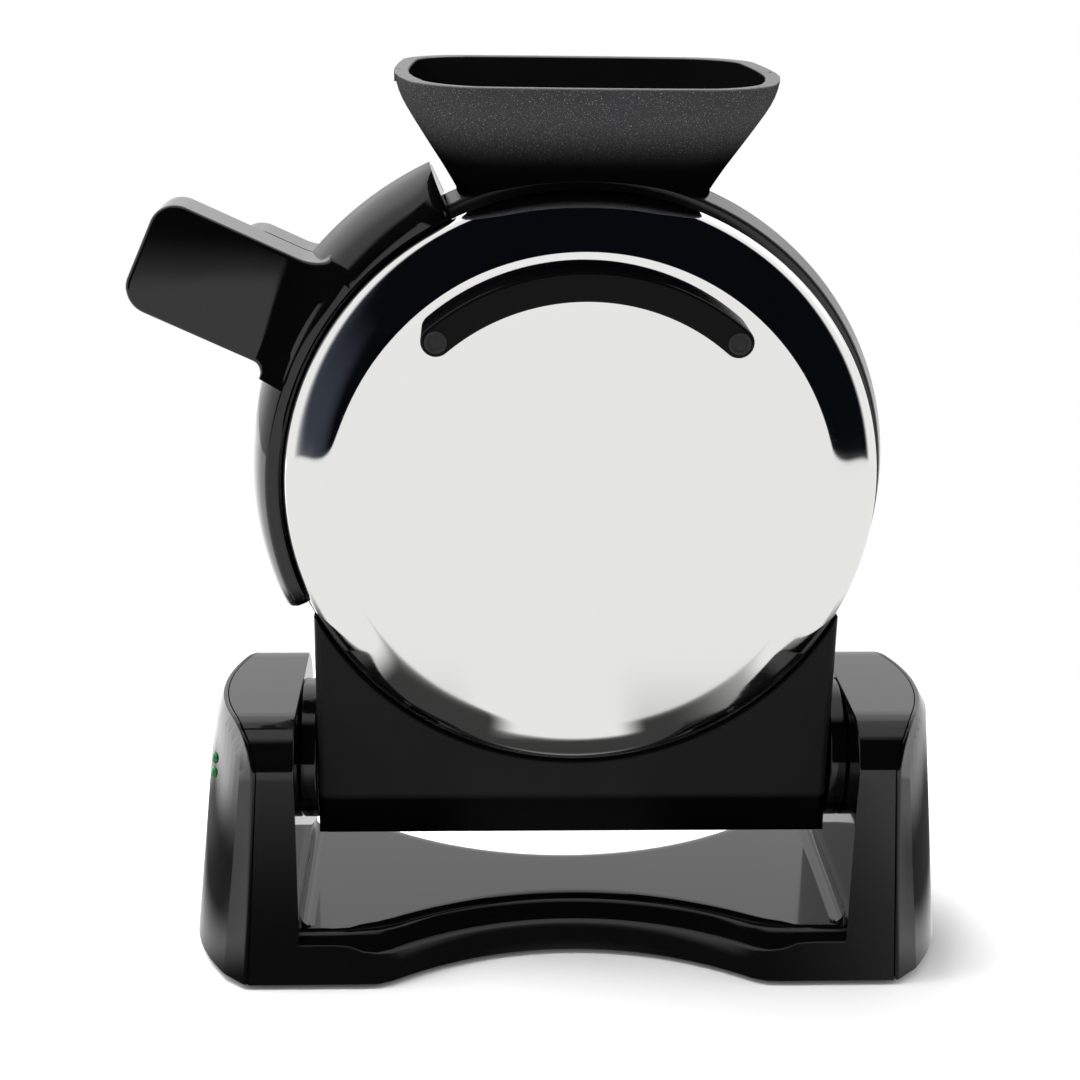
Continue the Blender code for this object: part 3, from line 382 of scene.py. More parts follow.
def newFinish(name, s, driven):
    # driven makes the nodes for the colour, the haze and the height of a finish with the settings s
    made = bpy.data.materials.new(name)
    tree = NodeTree(made)
    colour, haze, height = driven(tree)
    ends = s.get("hazeEnds", (0.3, 0.7))  # most of a noise lies between these
    inputs = {"IOR": 1.5, "Metallic": s.get("metal", 0.0), "Specular IOR Level": s.get("sheen", 0.5),
              "Base Color": colour, "Roughness": tree.remap(haze, *ends, s["smooth"], s["hazy"])}
    if height:
        relief = {"Height": height, "Strength": s["bump"], "Distance": s["depth"]}
        inputs["Normal"] = tree.node("ShaderNodeBump", {}, relief)
    for socket, value in inputs.items():
        tree.feed(tree.nodes["Principled BSDF"].inputs[socket], value)
    return made


glossSettings = {"dark": 0.0012, "light": 0.0022, "tint": (1, 1, 1.06), "smooth": 0.045, "hazy": 0.085,
                 "smudgeScale": 9, "waveScale": 26, "bump": 0.5, "depth": 0.00006}


def glossFinish(name, **changes):
    s = {**glossSettings, **changes}

    def driven(tree):
        smudge = tree.noise(s["smudgeScale"], 4)
        return tree.twoTone(smudge, s), smudge, tree.noise(s["waveScale"], 1)
    return newFinish(name, s, driven)


matteSettings = {"dark": 0.012, "light": 0.019, "tint": (1, 1, 1.05), "smooth": 0.42, "hazy": 0.56,
                 "patchScale": 14, "grainScale": 1400, "bump": 0.35, "depth": 0.00003}


def matteFinish(name, **changes):
    s = {**matteSettings, **changes}

    def driven(tree):
        patch = tree.noise(s["patchScale"], 3)
        return tree.twoTone(patch, s), patch, tree.noise(s["grainScale"], 2)
    return newFinish(name, s, driven)


# In these settings foot and inside are colours of painted shade, rim is the colour of a painted sheen on the rim top,
# and the two height spans place them
spoutSettings = {"foot": 0.0016, "upper": 0.038, "tint": (1, 1, 1.04), "inside": 0.0015, "speckle": 0.28,
                 "rim": 0.13, "footShadeZ": (0.3435, 0.367), "rimSheenZ": (0.3767, 0.3773), "outward": (-0.010, -0.002),
                 "grainScale": 900, "speckleScale": 2600, "fleck": (0.63, 0.76),
                 "smooth": 0.44, "hazy": 0.58, "sheen": 0.0, "bump": 0.5, "depth": 0.00007}


def spoutFinish(name):
    # Sandy matte plastic with tiny bright grains. Painted shade makes the base colour darker at its foot and inside
    # the funnel, and a painted sheen makes the rim top lighter.
    s = spoutSettings

    def driven(tree):
        grain = tree.noise(s["grainScale"], 2)
        x, y, z = tree.axes()
        nx, ny, nz = tree.axes(1)
        rise = tree.rising(z, s["footShadeZ"])
        shell = tree.rising((x - midX) * nx + y * ny, s["outward"])
        # The grains fade out where the painted shade lies
        bright = tree.rising(tree.noise(s["speckleScale"], 1), s["fleck"]) * rise * shell
        # Painted shade: the base colour darkens towards the foot and on the faces inside the funnel, then a painted
        # sheen lightens the rim top
        groundWithPaintedLight = tree.blend(rise, grey(s["foot"]), grey(s["upper"], s["tint"]))
        groundWithPaintedLight = tree.blend(shell, grey(s["inside"]), groundWithPaintedLight)
        groundWithPaintedLight = tree.blend(tree.rising(z, s["rimSheenZ"]), groundWithPaintedLight, grey(s["rim"]))
        return tree.blend(bright, groundWithPaintedLight, grey(s["speckle"])), grain, grain
    return newFinish(name, s, driven)


# dark is the colour of the painted shade along the band under the face; light is the rest, varied at random by cloud
cradleSettings = {"dark": 0.0004, "light": 0.0105, "tint": (1, 1, 1.08), "smooth": 0.16, "hazy": 0.24,
                  "sheen": 0.035, "bandZ": (0.0765, 0.0805), "cloudScale": 11, "cloud": 0.5}


def cradleFinish(name):
    # Satin black, with painted shade that makes the base colour blackest along the band under the face
    s = cradleSettings

    def driven(tree):
        haze = tree.noise(s["cloudScale"], 3)
        cloud = 1 - s["cloud"] / 2 + s["cloud"] * haze
        # Painted shade: the base colour falls to its darkest below bandZ, along the underside band
        return tree.twoTone(tree.rising(tree.axes()[2], s["bandZ"]) * cloud, s), haze, None
    return newFinish(name, s, driven)


steelSettings = {"tone": (0.83, 0.828, 0.815), "worn": (0.78, 0.78, 0.77), "smooth": 0.035, "hazy": 0.075,
                 "cloudScale": 5, "polishScale": 60, "polishStretch": (1, 1, 14), "polish": 0.4,
                 "hazeEnds": (0.35, 0.65), "waveScale": 7, "bump": 0.3, "depth": 0.00025, "metal": 1.0}


def steelFinish(name):
    s = steelSettings

    def driven(tree):
        cloud = tree.noise(s["cloudScale"], 5)
        polish = tree.noise(s["polishScale"], 3, s["polishStretch"])
        haze = cloud * (1 - s["polish"]) + polish * s["polish"]
        colour = tree.blend(cloud, (*s["tone"], 1), (*s["worn"], 1))
        return colour, haze, tree.noise(s["waveScale"], 1)
    return newFinish(name, s, driven)


def grainFinish(name, first, second, grain, s):
    def driven(tree):
        patch = tree.noise(*grain)
        return tree.blend(patch, (*first, 1), (*second, 1)), patch, patch
    return newFinish(name, s, driven)


def metalFinish(name, tone, smooth, hazy, grainScale):
    darker = [0.7 * part for part in tone]
    s = {"smooth": smooth, "hazy": hazy, "bump": 0.2, "depth": 0.00004, "metal": 1.0}
    return grainFinish(name, darker, tone, (grainScale, 4), s)


def coatedFinish(name, tone, smooth, hazy, grainScale, depth):
    # Rubber, nonstick coat, board lacquer and other plain skins
    lighter = [min(1.35 * part + 0.002, 1) for part in tone]
    s = {"smooth": smooth, "hazy": hazy, "bump": 0.4, "depth": depth}
    return grainFinish(name, tone, lighter, (grainScale, 3), s)


finishes = {
    "gloss_housing": glossFinish("housingGloss"),
    "gloss_cap": glossFinish("capGloss"),
    "gloss_hub": glossFinish("hubGloss"),
    "gloss_cradle": cradleFinish("cradleSatinPaintedShade"),
    "gloss_handle": glossFinish("handleGloss", smooth=0.02, hazy=0.04),
    "matte_bezel": matteFinish("bezelBlack", smooth=0.16, hazy=0.24),
    "bezel_gloss": glossFinish("bezelGloss"),
    "spout_plastic": spoutFinish("spoutSandPaintedShade"),
    "bar_plastic": matteFinish("barBlack", dark=0.0015, light=0.0025, smooth=0.2, hazy=0.3, sheen=0.1),
    "matte_inner": matteFinish("innerBlack"),
    "cover_steel": steelFinish("coverSteel"),
    "screw_steel": metalFinish("screwSteel", (0.42, 0.42, 0.43), 0.25, 0.4, 300),
    "element_steel": metalFinish("elementSteel", (0.50, 0.49, 0.47), 0.3, 0.5, 180),
    "shield_aluminium": metalFinish("shieldAluminium", (0.80, 0.80, 0.81), 0.3, 0.45, 120),
    "nonstick_plate": coatedFinish("nonstick", (0.014, 0.014, 0.015), 0.32, 0.44, 500, 0.00003),
    "foot_rubber": coatedFinish("footRubber", (0.012, 0.012, 0.012), 0.7, 0.85, 700, 0.00005),
    "green_lens": coatedFinish("lensGreen", (0.012, 0.11, 0.030), 0.08, 0.14, 90, 0.00001),
    "circuit_board": coatedFinish("boardLacquer", (0.015, 0.12, 0.05), 0.35, 0.5, 200, 0.00002),
    "terminal_plastic": coatedFinish("terminalIvory", (0.62, 0.58, 0.47), 0.4, 0.55, 260, 0.00002),
}
print("finishes made:", len(finishes))


# Covers: a pressed steel dish on each half

cover = {"radius": 0.120, "face": 0.0985, "faceOut": 0.038, "faceRings": (0.004, 0.001), "faceFill": 0.0035,
         "skirtEnd": 0.0123, "sheet": 0.0012, "rollSteps": 8, "shoulderSteps": 34, "segments": 160,
         "slopes": ((0.0, 2.0), (0.10, 17.0), (0.35, 26.5), (0.75, 29.0), (0.92, 40.0), (1.0, 58.0))}


def coverProfile():
    # The face, then a shoulder whose slope grows outwards, then the roll and the straight skirt
    c = cover
    radius, out = c["face"], c["faceOut"]
    points = [(radius - inset, out) for inset in (*c["faceRings"], 0)]
    step = (c["radius"] - c["face"] - c["sheet"]) / c["shoulderSteps"]
    for i in range(c["shoulderSteps"]):
        slope = radians(smoothAt(c["slopes"], (i + 0.5) / c["shoulderSteps"]))
        radius += step
        out -= step * tan(slope)
        points.append((radius, out))
    turn = radians(c["slopes"][-1][1])
    bend = (c["radius"] - radius) / (1 - sin(turn))
    for i in range(1, c["rollSteps"] + 1):
        angle = mix(turn, pi / 2, i / c["rollSteps"])
        points.append((radius + bend * (sin(angle) - sin(turn)), out - bend * (cos(turn) - cos(angle))))
    return points + [(c["radius"], mix(points[-1][1], c["skirtEnd"], 0.5)), (c["radius"], c["skirtEnd"])]


def makeCover(name, node, body, place):
    # The dish's open face is filled, then the dish gets its sheet thickness inwards
    dish = turned(name, coverProfile(), place, cover["segments"], "open")
    bm = opened(dish, "DESELECT")
    for vert in bm.verts:
        if hypot(vert.co.x - midX, vert.co.z - ironZ) < cover["face"] - cover["faceFill"]:
            vert.select = True
    bm.select_flush_mode()
    bpy.ops.mesh.edge_face_add()
    bpy.ops.mesh.select_all(action="SELECT")
    bpy.ops.mesh.normals_make_consistent(inside=False)
    closed(dish)
    face = max(dish.data.polygons, key=lambda p: p.area)
    if face.normal.dot(place(0, 0, 1) - place(0, 0, 0)) < 0:
        dish.data.flip_normals()
    applied(dish, "SOLIDIFY", thickness=cover["sheet"], offset=-1)
    dress(dish, body, "cover_steel", node, 40)


makeCover("frontCoverShell", "front_cover", "front_half", frontOf)
makeCover("rearCoverShell", "rear_cover", "base", rearOf)
print("covers pressed")


# Bezels: black rings behind the covers, with the feed slot on top

bezel = {"radius": 0.1265, "front": 0.1235, "face": 0.012, "gap": 0.0006, "bore": 0.104, "flange": 0.003,
         "wall": 0.008, "spigot": 0.1185, "spigotOut": 0.016, "spigotWall": 0.002, "edge": 0.0016,
         "flatZ": 0.0935, "slotHalfWidth": 0.024, "slotHalfDepth": 0.006, "slotZ": 0.2939, "cutDepth": 0.05,
         "segments": 160}


def feedSlot():
    wide, deep = bezel["slotHalfWidth"], bezel["slotHalfDepth"]
    return block("slotTool", (midX - wide, -deep, bezel["slotZ"]),
                 (midX + wide, deep, ironZ + bezel["radius"] + past))


def makeBezel(name, node, body, place, finish):
    b = bezel
    radius, edge, face = b["radius"], b["edge"], b["face"]
    floor = b["gap"] + b["flange"]
    lean = (radius - b["front"]) / (face - b["gap"])
    middle = b["front"] + edge * (lean - hypot(1, lean))
    profile = [(b["spigot"], b["spigotOut"]), (b["spigot"], face),
               *arcPoints((middle, face - edge), edge, 90, degrees(atan(lean)), 6),
               (radius, b["gap"]), (b["bore"], b["gap"]), (b["bore"], floor),
               (radius - b["wall"] - b["spigotWall"], floor), (b["spigot"] - b["spigotWall"], b["spigotOut"])]
    ring = turned(name, profile, place, b["segments"], "loop")
    carve(ring, feedSlot())
    if place is rearOf:
        deep = b["cutDepth"]
        carve(ring, block("flatTool", (midX - radius, -deep, 0), (midX + radius, deep, b["flatZ"])))
    dress(ring, body, "matte_bezel", node, 35, finish)


makeBezel("frontBezelRing", "front_bezel", "front_half", frontOf, "matte_bezel")
makeBezel("rearBezelRing", "rear_bezel", "base", rearOf, "bezel_gloss")
print("bezels turned")


# Baking plates: nonstick castings with a grid of raised blocks and a low divider cross

plate = {"rim": 0.1037, "back": 0.0141, "gap": 0.0006, "pan": 0.092, "draft": 0.0013, "floor": 0.0096,
         "pitch": 0.0182, "base": 0.0136, "top": 0.0106, "height": 0.0062, "edge": 0.0009, "margin": 0.0006,
         "divider": 0.0042, "dividerDrop": 0.0016, "lip": 0.0007, "panFoot": ((-0.0002, 0.0012), (0.001, 0.0)),
         "segments": 128}


def blockSpots():
    half, pitch = plate["base"] / 2, plate["pitch"]
    reach = int(plate["pan"] / pitch) + 1
    middles = [(i + 0.5) * pitch for i in range(-reach, reach)]
    return [(x, y) for x in middles for y in middles
            if hypot(abs(x) + half, abs(y) + half) < plate["pan"] - plate["margin"]]


def waffleBlock(name, place, x, y):
    # One tapered block of the grid: a cube, pinched towards its top, with rounded edges
    p = plate
    low, high = (p["base"], p["floor"] + snug), (p["top"], p["floor"] - p["height"])
    tool = block(name, (-0.5, -0.5, 0), (0.5, 0.5, 1))
    for vert in tool.data.vertices:
        wide, out = high if vert.co.z > 0.5 else low
        vert.co = place(x + vert.co.x * wide, y + vert.co.y * wide, out)
    return roundEdges(tool, p["edge"], 3, lambda e: min(outwards(v.co) for v in e.verts) < p["floor"])


def makePlate(name, node, body, place):
    p = plate
    lip, gap, floor = p["lip"], p["gap"], p["floor"]
    profile = [(p["rim"], p["back"]), (p["rim"], gap + lip), (p["rim"] - lip, gap),
               (p["pan"] + lip, gap), (p["pan"], gap + lip),
               *[(p["pan"] - p["draft"] - inset, floor - rise) for inset, rise in p["panFoot"]]]
    casting = turned(name, profile, place, p["segments"])
    (x0, y0), *others = blockSpots()
    first = waffleBlock(name + "Blocks", place, x0, y0)
    blocks = [first]
    for x, y in others:
        copy = first.copy()
        copy.data = first.data.copy()
        bpy.context.scene.collection.objects.link(copy)
        copy.data.transform(Matrix.Translation((x - x0, 0, y - y0)))
        blocks.append(copy)
    onlySelect(*blocks)
    bpy.ops.object.join()
    weld(casting, tidyMesh(first))
    arm = p["divider"] / 2
    reach = p["pan"] + snug
    low = gap + p["dividerDrop"]
    for wide, tall in ((reach, arm), (arm, reach)):
        bar = block("divider", place(-wide, -tall, low), place(wide, tall, floor + snug))
        roundEdges(bar, p["edge"], 3, lambda e: levelEdge(e, outwards, low))
        weld(casting, bar)
    carve(casting, feedSlot())
    dress(casting, body, "nonstick_plate", node, 35)


makePlate("frontPlateCasting", "front_baking_plate", "front_half", frontOf)
makePlate("rearPlateCasting", "rear_baking_plate", "base", rearOf)
print("baking plates cast")


# Spout: a sandy black funnel in two halves

spout = {"topZ": 0.37738, "halfWidth": 0.0738, "halfDepth": 0.068, "corner": 0.022,
         "narrowFront": 0.20, "narrowRear": 0.06, "bow": 0.04, "sideSteps": 6, "cornerSteps": 12,
         "footZ": 0.3328, "footHalfWidth": 0.050, "footHalfDepth": 0.0195, "footCorner": 0.012,
         "endWall": 0.0052, "sideWall": 0.003, "throatHalfWidth": 0.030, "throatHalfDepth": 0.009,
         "throatCorner": 0.006, "throatZ": 0.346, "outerSteps": 14, "innerSteps": 12, "innerFlare": 0.75,
         "split": 0.0003, "skirtGap": 0.0035, "rimEdge": 0.0007, "cutTop": 0.4,
         "flare": ((0.0, 0.0), (0.2, 0.22), (0.39, 0.445), (0.62, 0.71), (0.77, 0.87), (0.89, 0.96), (1.0, 1.0)),
         "tongue": 0.0022, "tongueReach": 0.0030, "tongueDrop": 0.005, "tongueGap": 0.0005,
         "tongueBack": 0.001}


def spoutRing(z, halfWidth, halfDepth, corner):
    # A rounded rectangle that draws in towards its front and rear and bows along its long sides
    s = spout
    arcs = [arcPoints((sx * (halfWidth - corner), sy * (halfDepth - corner)), corner, start, start + 90,
                      s["cornerSteps"]) for start, sx, sy in ((0, 1, 1), (90, -1, 1), (180, -1, -1), (270, 1, -1))]
    ring = []
    for arc, following in zip(arcs, arcs[1:] + arcs[:1]):
        (x0, y0), (x1, y1) = arc[-1], following[0]
        shares = [i / s["sideSteps"] for i in range(1, s["sideSteps"])]
        for x, y in arc + [(mix(x0, x1, t), mix(y0, y1, t)) for t in shares]:
            narrow = s["narrowFront"] if y < 0 else s["narrowRear"]
            ring.append(Vector((midX + x * (1 - narrow * (y / halfDepth) ** 2),
                                y * (1 - s["bow"] * (x / halfWidth) ** 2), z)))
    return ring


def funnel(low, high, steps, flareAt):
    # Rings from a low one to a high one, each given as z, half width, half depth and corner
    rings = []
    for i in range(steps + 1):
        flare = flareAt(i / steps)
        sizes = [mix(a, b, flare) for a, b in zip(low[1:], high[1:])]
        rings.append(spoutRing(mix(low[0], high[0], i / steps), *sizes))
    return rings


def spoutOuter():
    s = spout
    foot = (s["footZ"], s["footHalfWidth"], s["footHalfDepth"], s["footCorner"])
    rim = (s["topZ"], s["halfWidth"], s["halfDepth"], s["corner"])
    rings = funnel(foot, rim, s["outerSteps"], lambda rise: smoothAt(s["flare"], rise))
    return [spoutRing(s["footZ"] - s["footHalfDepth"], *foot[1:])] + rings


def spoutInner():
    s = spout
    throat = (s["throatZ"], s["throatHalfWidth"], s["throatHalfDepth"], s["throatCorner"])
    mouth = (s["topZ"], s["halfWidth"] - s["endWall"], s["halfDepth"] - s["sideWall"], s["corner"] - s["sideWall"])
    rings = funnel(throat, mouth, s["innerSteps"], lambda rise: rise ** s["innerFlare"])
    low = spoutRing(s["footZ"] - 2 * s["footHalfDepth"], *throat[1:])
    return [low] + rings + [spoutRing(s["topZ"] + past, *mouth[1:])]


def makeSpoutHalf(name, node, body, sign):
    # sign is -1 for the front half and 1 for the rear one
    s = spout
    half = skinRings(name, spoutOuter())
    carve(half, skinRings("funnelTool", spoutInner()))
    wide = bezel["radius"] + snug
    seat = [(wide, -past), (wide, bezel["gap"]), (bezel["front"] + snug, bezel["face"] + snug)]
    carve(half, turned("bezelTool", seat, frontOf if sign < 0 else rearOf, bezel["segments"]),
          rod("coverTool", cover["radius"] + s["skirtGap"], -cover["faceOut"], cover["faceOut"], frontOf,
              bezel["segments"]))
    wide = s["halfWidth"] + past
    carve(half, block("splitTool", (midX - wide, sign * s["split"], ironZ),
                      (midX + wide, -sign * 2 * s["halfDepth"], s["topZ"] + past)))
    low, gap, back, reach = s["topZ"] - s["tongueDrop"], s["tongueGap"], s["tongueBack"], s["tongueReach"]
    for side in (-1, 1):
        inner = midX + side * (s["halfWidth"] - s["tongue"])
        outer = midX + side * s["halfWidth"]
        if sign > 0:
            carve(half, block("notchTool", (inner, -back, low), (outer + side * back, reach, s["cutTop"])))
        else:
            weld(half, block("tongue", (inner + side * gap, -back, low + gap), (outer, reach - gap, s["topZ"])))
    softEdges(half, s["rimEdge"], 2, 50)
    dress(half, body, "spout_plastic", node, 35)


makeSpoutHalf("frontSpoutShell", "front_spout_half", "front_half", -1)
makeSpoutHalf("rearSpoutShell", "rear_spout_half", "base", 1)
print("spout moulded")


# Collar with the handle paddle, and the shorter paddle behind it

collar = {"upper": 0.1405, "lower": 0.1345, "narrow": (140, 164), "front": 0.1254, "bore": 0.1274,
          "innerFront": 0.1209, "frontOut": 0.0268, "gap": 0.0006, "seat": 0.0129, "flarePower": 1.4,
          "flare": ((0.0, 0.0), (0.16, 0.36), (0.4, 0.66), (0.7, 0.88), (1.0, 1.0)), "cornerCut": (0.3, 0.2),
          "start": 115.5, "end": 204.0, "endRound": 5.0, "endDrop": 0.004, "rearDepth": 0.0041,
          "rearStep": 0.002, "edge": 0.0007, "sweepSteps": 90, "flareSteps": 14}
paddle = {"tilt": 24.5, "rootX": 0.11567, "rootZ": 0.06972, "length": 0.0616, "width": 0.045,
          "overlap": 0.004, "frontOverlap": 0.0098, "frontOut": 0.022, "corner": 0.0105, "fillet": 0.005,
          "edge": 0.0019, "slice": 0.0015, "rearLength": 0.030, "rearDepth": 0.020,
          "rootSwell": 0.0048, "swellRadius": 0.1425, "swellEnd": 0.1262}


def collarRadius(degrees):
    low, high = collar["narrow"]
    return mix(collar["upper"], collar["lower"], eased((degrees - low) / (high - low)))


def endDip(degrees):
    # Both ends of the collar's front edge are rounded off
    near = clamped(min(degrees - collar["start"], collar["end"] - degrees) / collar["endRound"])
    return collar["endDrop"] * (1 - sqrt(1 - (1 - near) ** 2))


def sweptCollar(name, profileAt):
    rings = []
    for i in range(collar["sweepSteps"] + 1):
        degrees = mix(collar["start"], collar["end"], i / collar["sweepSteps"])
        t = radians(degrees)
        rings.append([Vector((midX + r * cos(t), y, ironZ + r * sin(t))) for r, y in profileAt(degrees)])
    return skinRings(name, rings)


def frontCollarProfile(degrees):
    c = collar
    out, edge, gap = c["frontOut"] - endDip(degrees), c["edge"], c["gap"]
    outer = []
    for i in range(1, c["flareSteps"] + 1):
        deep = (i / c["flareSteps"]) ** c["flarePower"]
        outer.append((mix(c["front"], collarRadius(degrees), smoothAt(c["flare"], deep)), mix(-out, -gap, deep)))
    cut, rise = c["cornerCut"]
    return [(c["innerFront"], -out + edge), (c["innerFront"] + edge, -out), (c["front"] - edge, -out),
            (c["front"] - edge * cut, -out + edge * rise), *outer,
            (c["bore"], -gap), (c["bore"], -c["seat"]), (c["innerFront"], -c["seat"])]


def rearCollarProfile(degrees):
    c = collar
    outer = collarRadius(degrees) - c["rearStep"]
    edge, back = c["edge"], c["rearDepth"]
    return [(c["bore"], c["gap"]), (outer, c["gap"]), (outer, back - edge), (outer - edge, back), (c["bore"], back)]


def handlePlace(u, y, w):
    # u runs out along the handle from its root and w crosses it
    tilt = radians(paddle["tilt"])
    return Vector((midX - paddle["rootX"] - u * cos(tilt) + w * sin(tilt), y,
                   ironZ + paddle["rootZ"] + u * sin(tilt) + w * cos(tilt)))


def acrossHandle(co):
    tilt = radians(paddle["tilt"])
    return (co.x - midX + paddle["rootX"]) * sin(tilt) + (co.z - ironZ - paddle["rootZ"]) * cos(tilt)


def collarDrop(w):
    # Where the collar's round surface lies along the handle, at a distance across it
    x, z, tilt = paddle["rootX"], paddle["rootZ"], radians(paddle["tilt"])
    along = x * cos(tilt) + z * sin(tilt)
    across = z * cos(tilt) - x * sin(tilt)
    return sqrt(along * along - w * w - 2 * w * across) - along


def paddleOutline(length, overlap):
    half, corner, fillet = paddle["width"] / 2, paddle["corner"], paddle["fillet"]
    low = arcPoints((fillet, -half - fillet), fillet, 180, 90, 8)
    high = arcPoints((fillet, half + fillet), fillet, -90, -180, 8)
    low, high = ([(u + collarDrop(w) * (1 - u / fillet), w) for u, w in side] for side in (low, high))
    tip = arcPoints((length - corner, -half + corner), corner, -90, 0, 12)
    tip += arcPoints((length - corner, half - corner), corner, 0, 90, 12)
    return [(low[0][0] - overlap, -half - fillet), *low, *tip, *high, (high[-1][0] - overlap, half + fillet)]


def makePaddle(name, length, inner, outer, outerOverlap, swell):
    p = paddle
    piece = skinRings(name, [[handlePlace(u, y, w) for u, w in paddleOutline(length, overlap)]
                             for y, overlap in ((inner, p["overlap"]), (outer, outerOverlap))])
    slicePiece(piece, [handlePlace(i * p["slice"], 0, 0) for i in range(-1, 14)],
               handlePlace(1, 0, 0) - handlePlace(0, 0, 0))
    reach = p["width"] / 2 + p["fillet"] - same

    def outerRim(edge):
        return (levelEdge(edge, depth, outer) and len(edge.link_faces) == 2 and edge.calc_face_angle(0) > sharp
                and min(abs(acrossHandle(v.co)) for v in edge.verts) < reach)
    roundEdges(piece, p["edge"], 4, outerRim)
    for vert in piece.data.vertices:
        radius = hypot(vert.co.x - midX, vert.co.z - ironZ)
        near = clamped((p["swellRadius"] - radius) / (p["swellRadius"] - p["swellEnd"]))
        vert.co.y -= swell * near * near * clamped(vert.co.y / outer)
    return piece


latch = {"position": 0.014, "stem": 0.005, "travel": 0.0045, "width": 0.014, "pocket": 0.0115, "gap": 0.0006,
         "reach": 0.0108, "back": 0.020, "buttonLength": 0.016, "buttonWidth": 0.022, "buttonDepth": 0.0035,
         "buttonLift": 0.0003, "edge": 0.0009, "ribs": 4, "ribMargin": 1.5, "grooveWidth": 0.2,
         "grooveLength": 0.38, "grooveDepth": 0.0008, "overlap": 0.001}


def latchBox(name, u0, u1, halfWidth, y0, y1):
    tool = block(name, (0, 0, 0), (1, 1, 1))
    for vert in tool.data.vertices:
        u = latch["position"] + mix(u0, u1, vert.co.x)
        vert.co = handlePlace(u, mix(y0, y1, vert.co.y), mix(-halfWidth, halfWidth, vert.co.z))
    return tidyMesh(tool)


def makeFrontHandle():
    gap, room = collar["gap"], latch["gap"]
    body = sweptCollar("frontHandleMoulding", frontCollarProfile)
    weld(body, makePaddle("frontPaddle", paddle["length"], -gap, -paddle["frontOut"],
                          paddle["frontOverlap"], paddle["rootSwell"]))
    carve(body, latchBox("pocketTool", -room, latch["stem"] + latch["travel"] + room,
                         latch["width"] / 2 + room, -gap - latch["pocket"], past))
    dress(body, "front_half", "gloss_handle", "front_handle", 38)


def makeRearHandle():
    body = sweptCollar("rearHandleMoulding", rearCollarProfile)
    weld(body, makePaddle("rearPaddle", paddle["rearLength"], collar["gap"], paddle["rearDepth"],
                          paddle["overlap"], 0))
    carve(body, latchBox("slotTool", -snug, latch["stem"] + latch["travel"] + snug,
                         latch["width"] / 2 + snug, -past, paddle["rearDepth"] + past))
    dress(body, "base", "gloss_handle", "rear_handle", 38)


def makeLatch():
    # Stem, button and grip ribs
    k = latch
    middle, half = k["stem"] / 2, k["buttonLength"] / 2
    low = k["back"] + k["buttonLift"]
    high = low + k["buttonDepth"]
    slide = latchBox("latchSlider", 0, k["stem"], k["width"] / 2, -k["reach"], low + k["overlap"])
    button = latchBox("button", middle - half, middle + half, k["buttonWidth"] / 2, low, high)
    weld(slide, softEdges(button, k["edge"], 3, 60))
    pitch = k["buttonLength"] / (k["ribs"] + k["ribMargin"])
    wide = pitch * k["grooveWidth"]
    for i in range(k["ribs"]):
        u = middle + (i - (k["ribs"] - 1) / 2) * pitch
        carve(slide, latchBox("groove", u - wide, u + wide, k["buttonWidth"] * k["grooveLength"],
                              high - k["grooveDepth"], high + k["overlap"]))
    dress(slide, "latch", "matte_inner", "latch_slide", 35)


makeFrontHandle()
makeRearHandle()
makeLatch()
print("handle moulded")


# Cradle that holds the front half, and the brackets behind

cradle = {"halfWidth": 0.1085, "faceOut": 0.026, "bottomZ": 0.0605, "topZ": 0.1595, "wall": 0.003,
          "belly": 0.0028, "bandZ": 0.079, "bandDrop": 0.0005, "sideRound": 0.0035, "seatGap": 0.0012,
          "rimEdge": 0.0007, "inner": 0.0009, "backThickness": 0.0022, "backTopZ": 0.1261,
          "earRadius": 0.013, "pinRadius": 0.0063, "bracketBottomZ": 0.0975, "armStart": 0.0012,
          "armDepth": 0.0105, "knuckle": 0.0095, "square": 0.0088, "backEdge": 0.0004,
          "cut": (0.2, 0.05, 0.3)}


def cradleBlock(name, sign, bottom, belly):
    c = cradle
    face, side = sign * c["faceOut"], c["halfWidth"]
    piece = block(name, (midX - side, face, bottom), (midX + side, sign * c["inner"], c["topZ"]))
    if belly:
        roundEdges(piece, c["belly"], 12, lambda e: levelEdge(e, depth, face) and levelEdge(e, height, bottom))

    def sideEdge(edge):
        level = levelEdge(edge, height, c["topZ"]) or levelEdge(edge, height, bottom)
        return (not level and levelEdge(edge, sideways, side) and edge.calc_face_angle(0) > sharp
                and levelEdge(edge, depth, face, c["belly"] + same))
    roundEdges(piece, c["sideRound"], 5, sideEdge)
    if belly:
        slicePiece(piece, [(0, 0, mix(bottom + c["belly"], c["bandZ"], i / 6)) for i in range(7)], (0, 0, 1))
        for vert in piece.data.vertices:
            share = clamped((c["bandZ"] - vert.co.z) / (c["bandZ"] - bottom))
            vert.co.y -= sign * c["bandDrop"] * share * share * clamped(vert.co.y / face)
    return piece


def seatTools(place):
    yield rod("rimTool", cover["radius"] + cradle["seatGap"], -past, cradle["faceOut"] + past, place, 160)
    yield rod("seatTool", bezel["radius"] + snug, -past, bezel["face"] + snug, place, 160)


def pocketTool(sign, low, start, deep, gap=0.0):
    c = cradle
    half = c["halfWidth"] - c["wall"] - gap
    tool = block("pocketTool", (midX - half, sign * start, low), (midX + half, sign * deep, c["topZ"] + past))
    wall = bezel["radius"] + snug + c["wall"] + gap
    place = frontOf if sign < 0 else rearOf
    return carve(tool, rod("wallTool", wall, -3 * past, c["faceOut"] + past, place, 160))


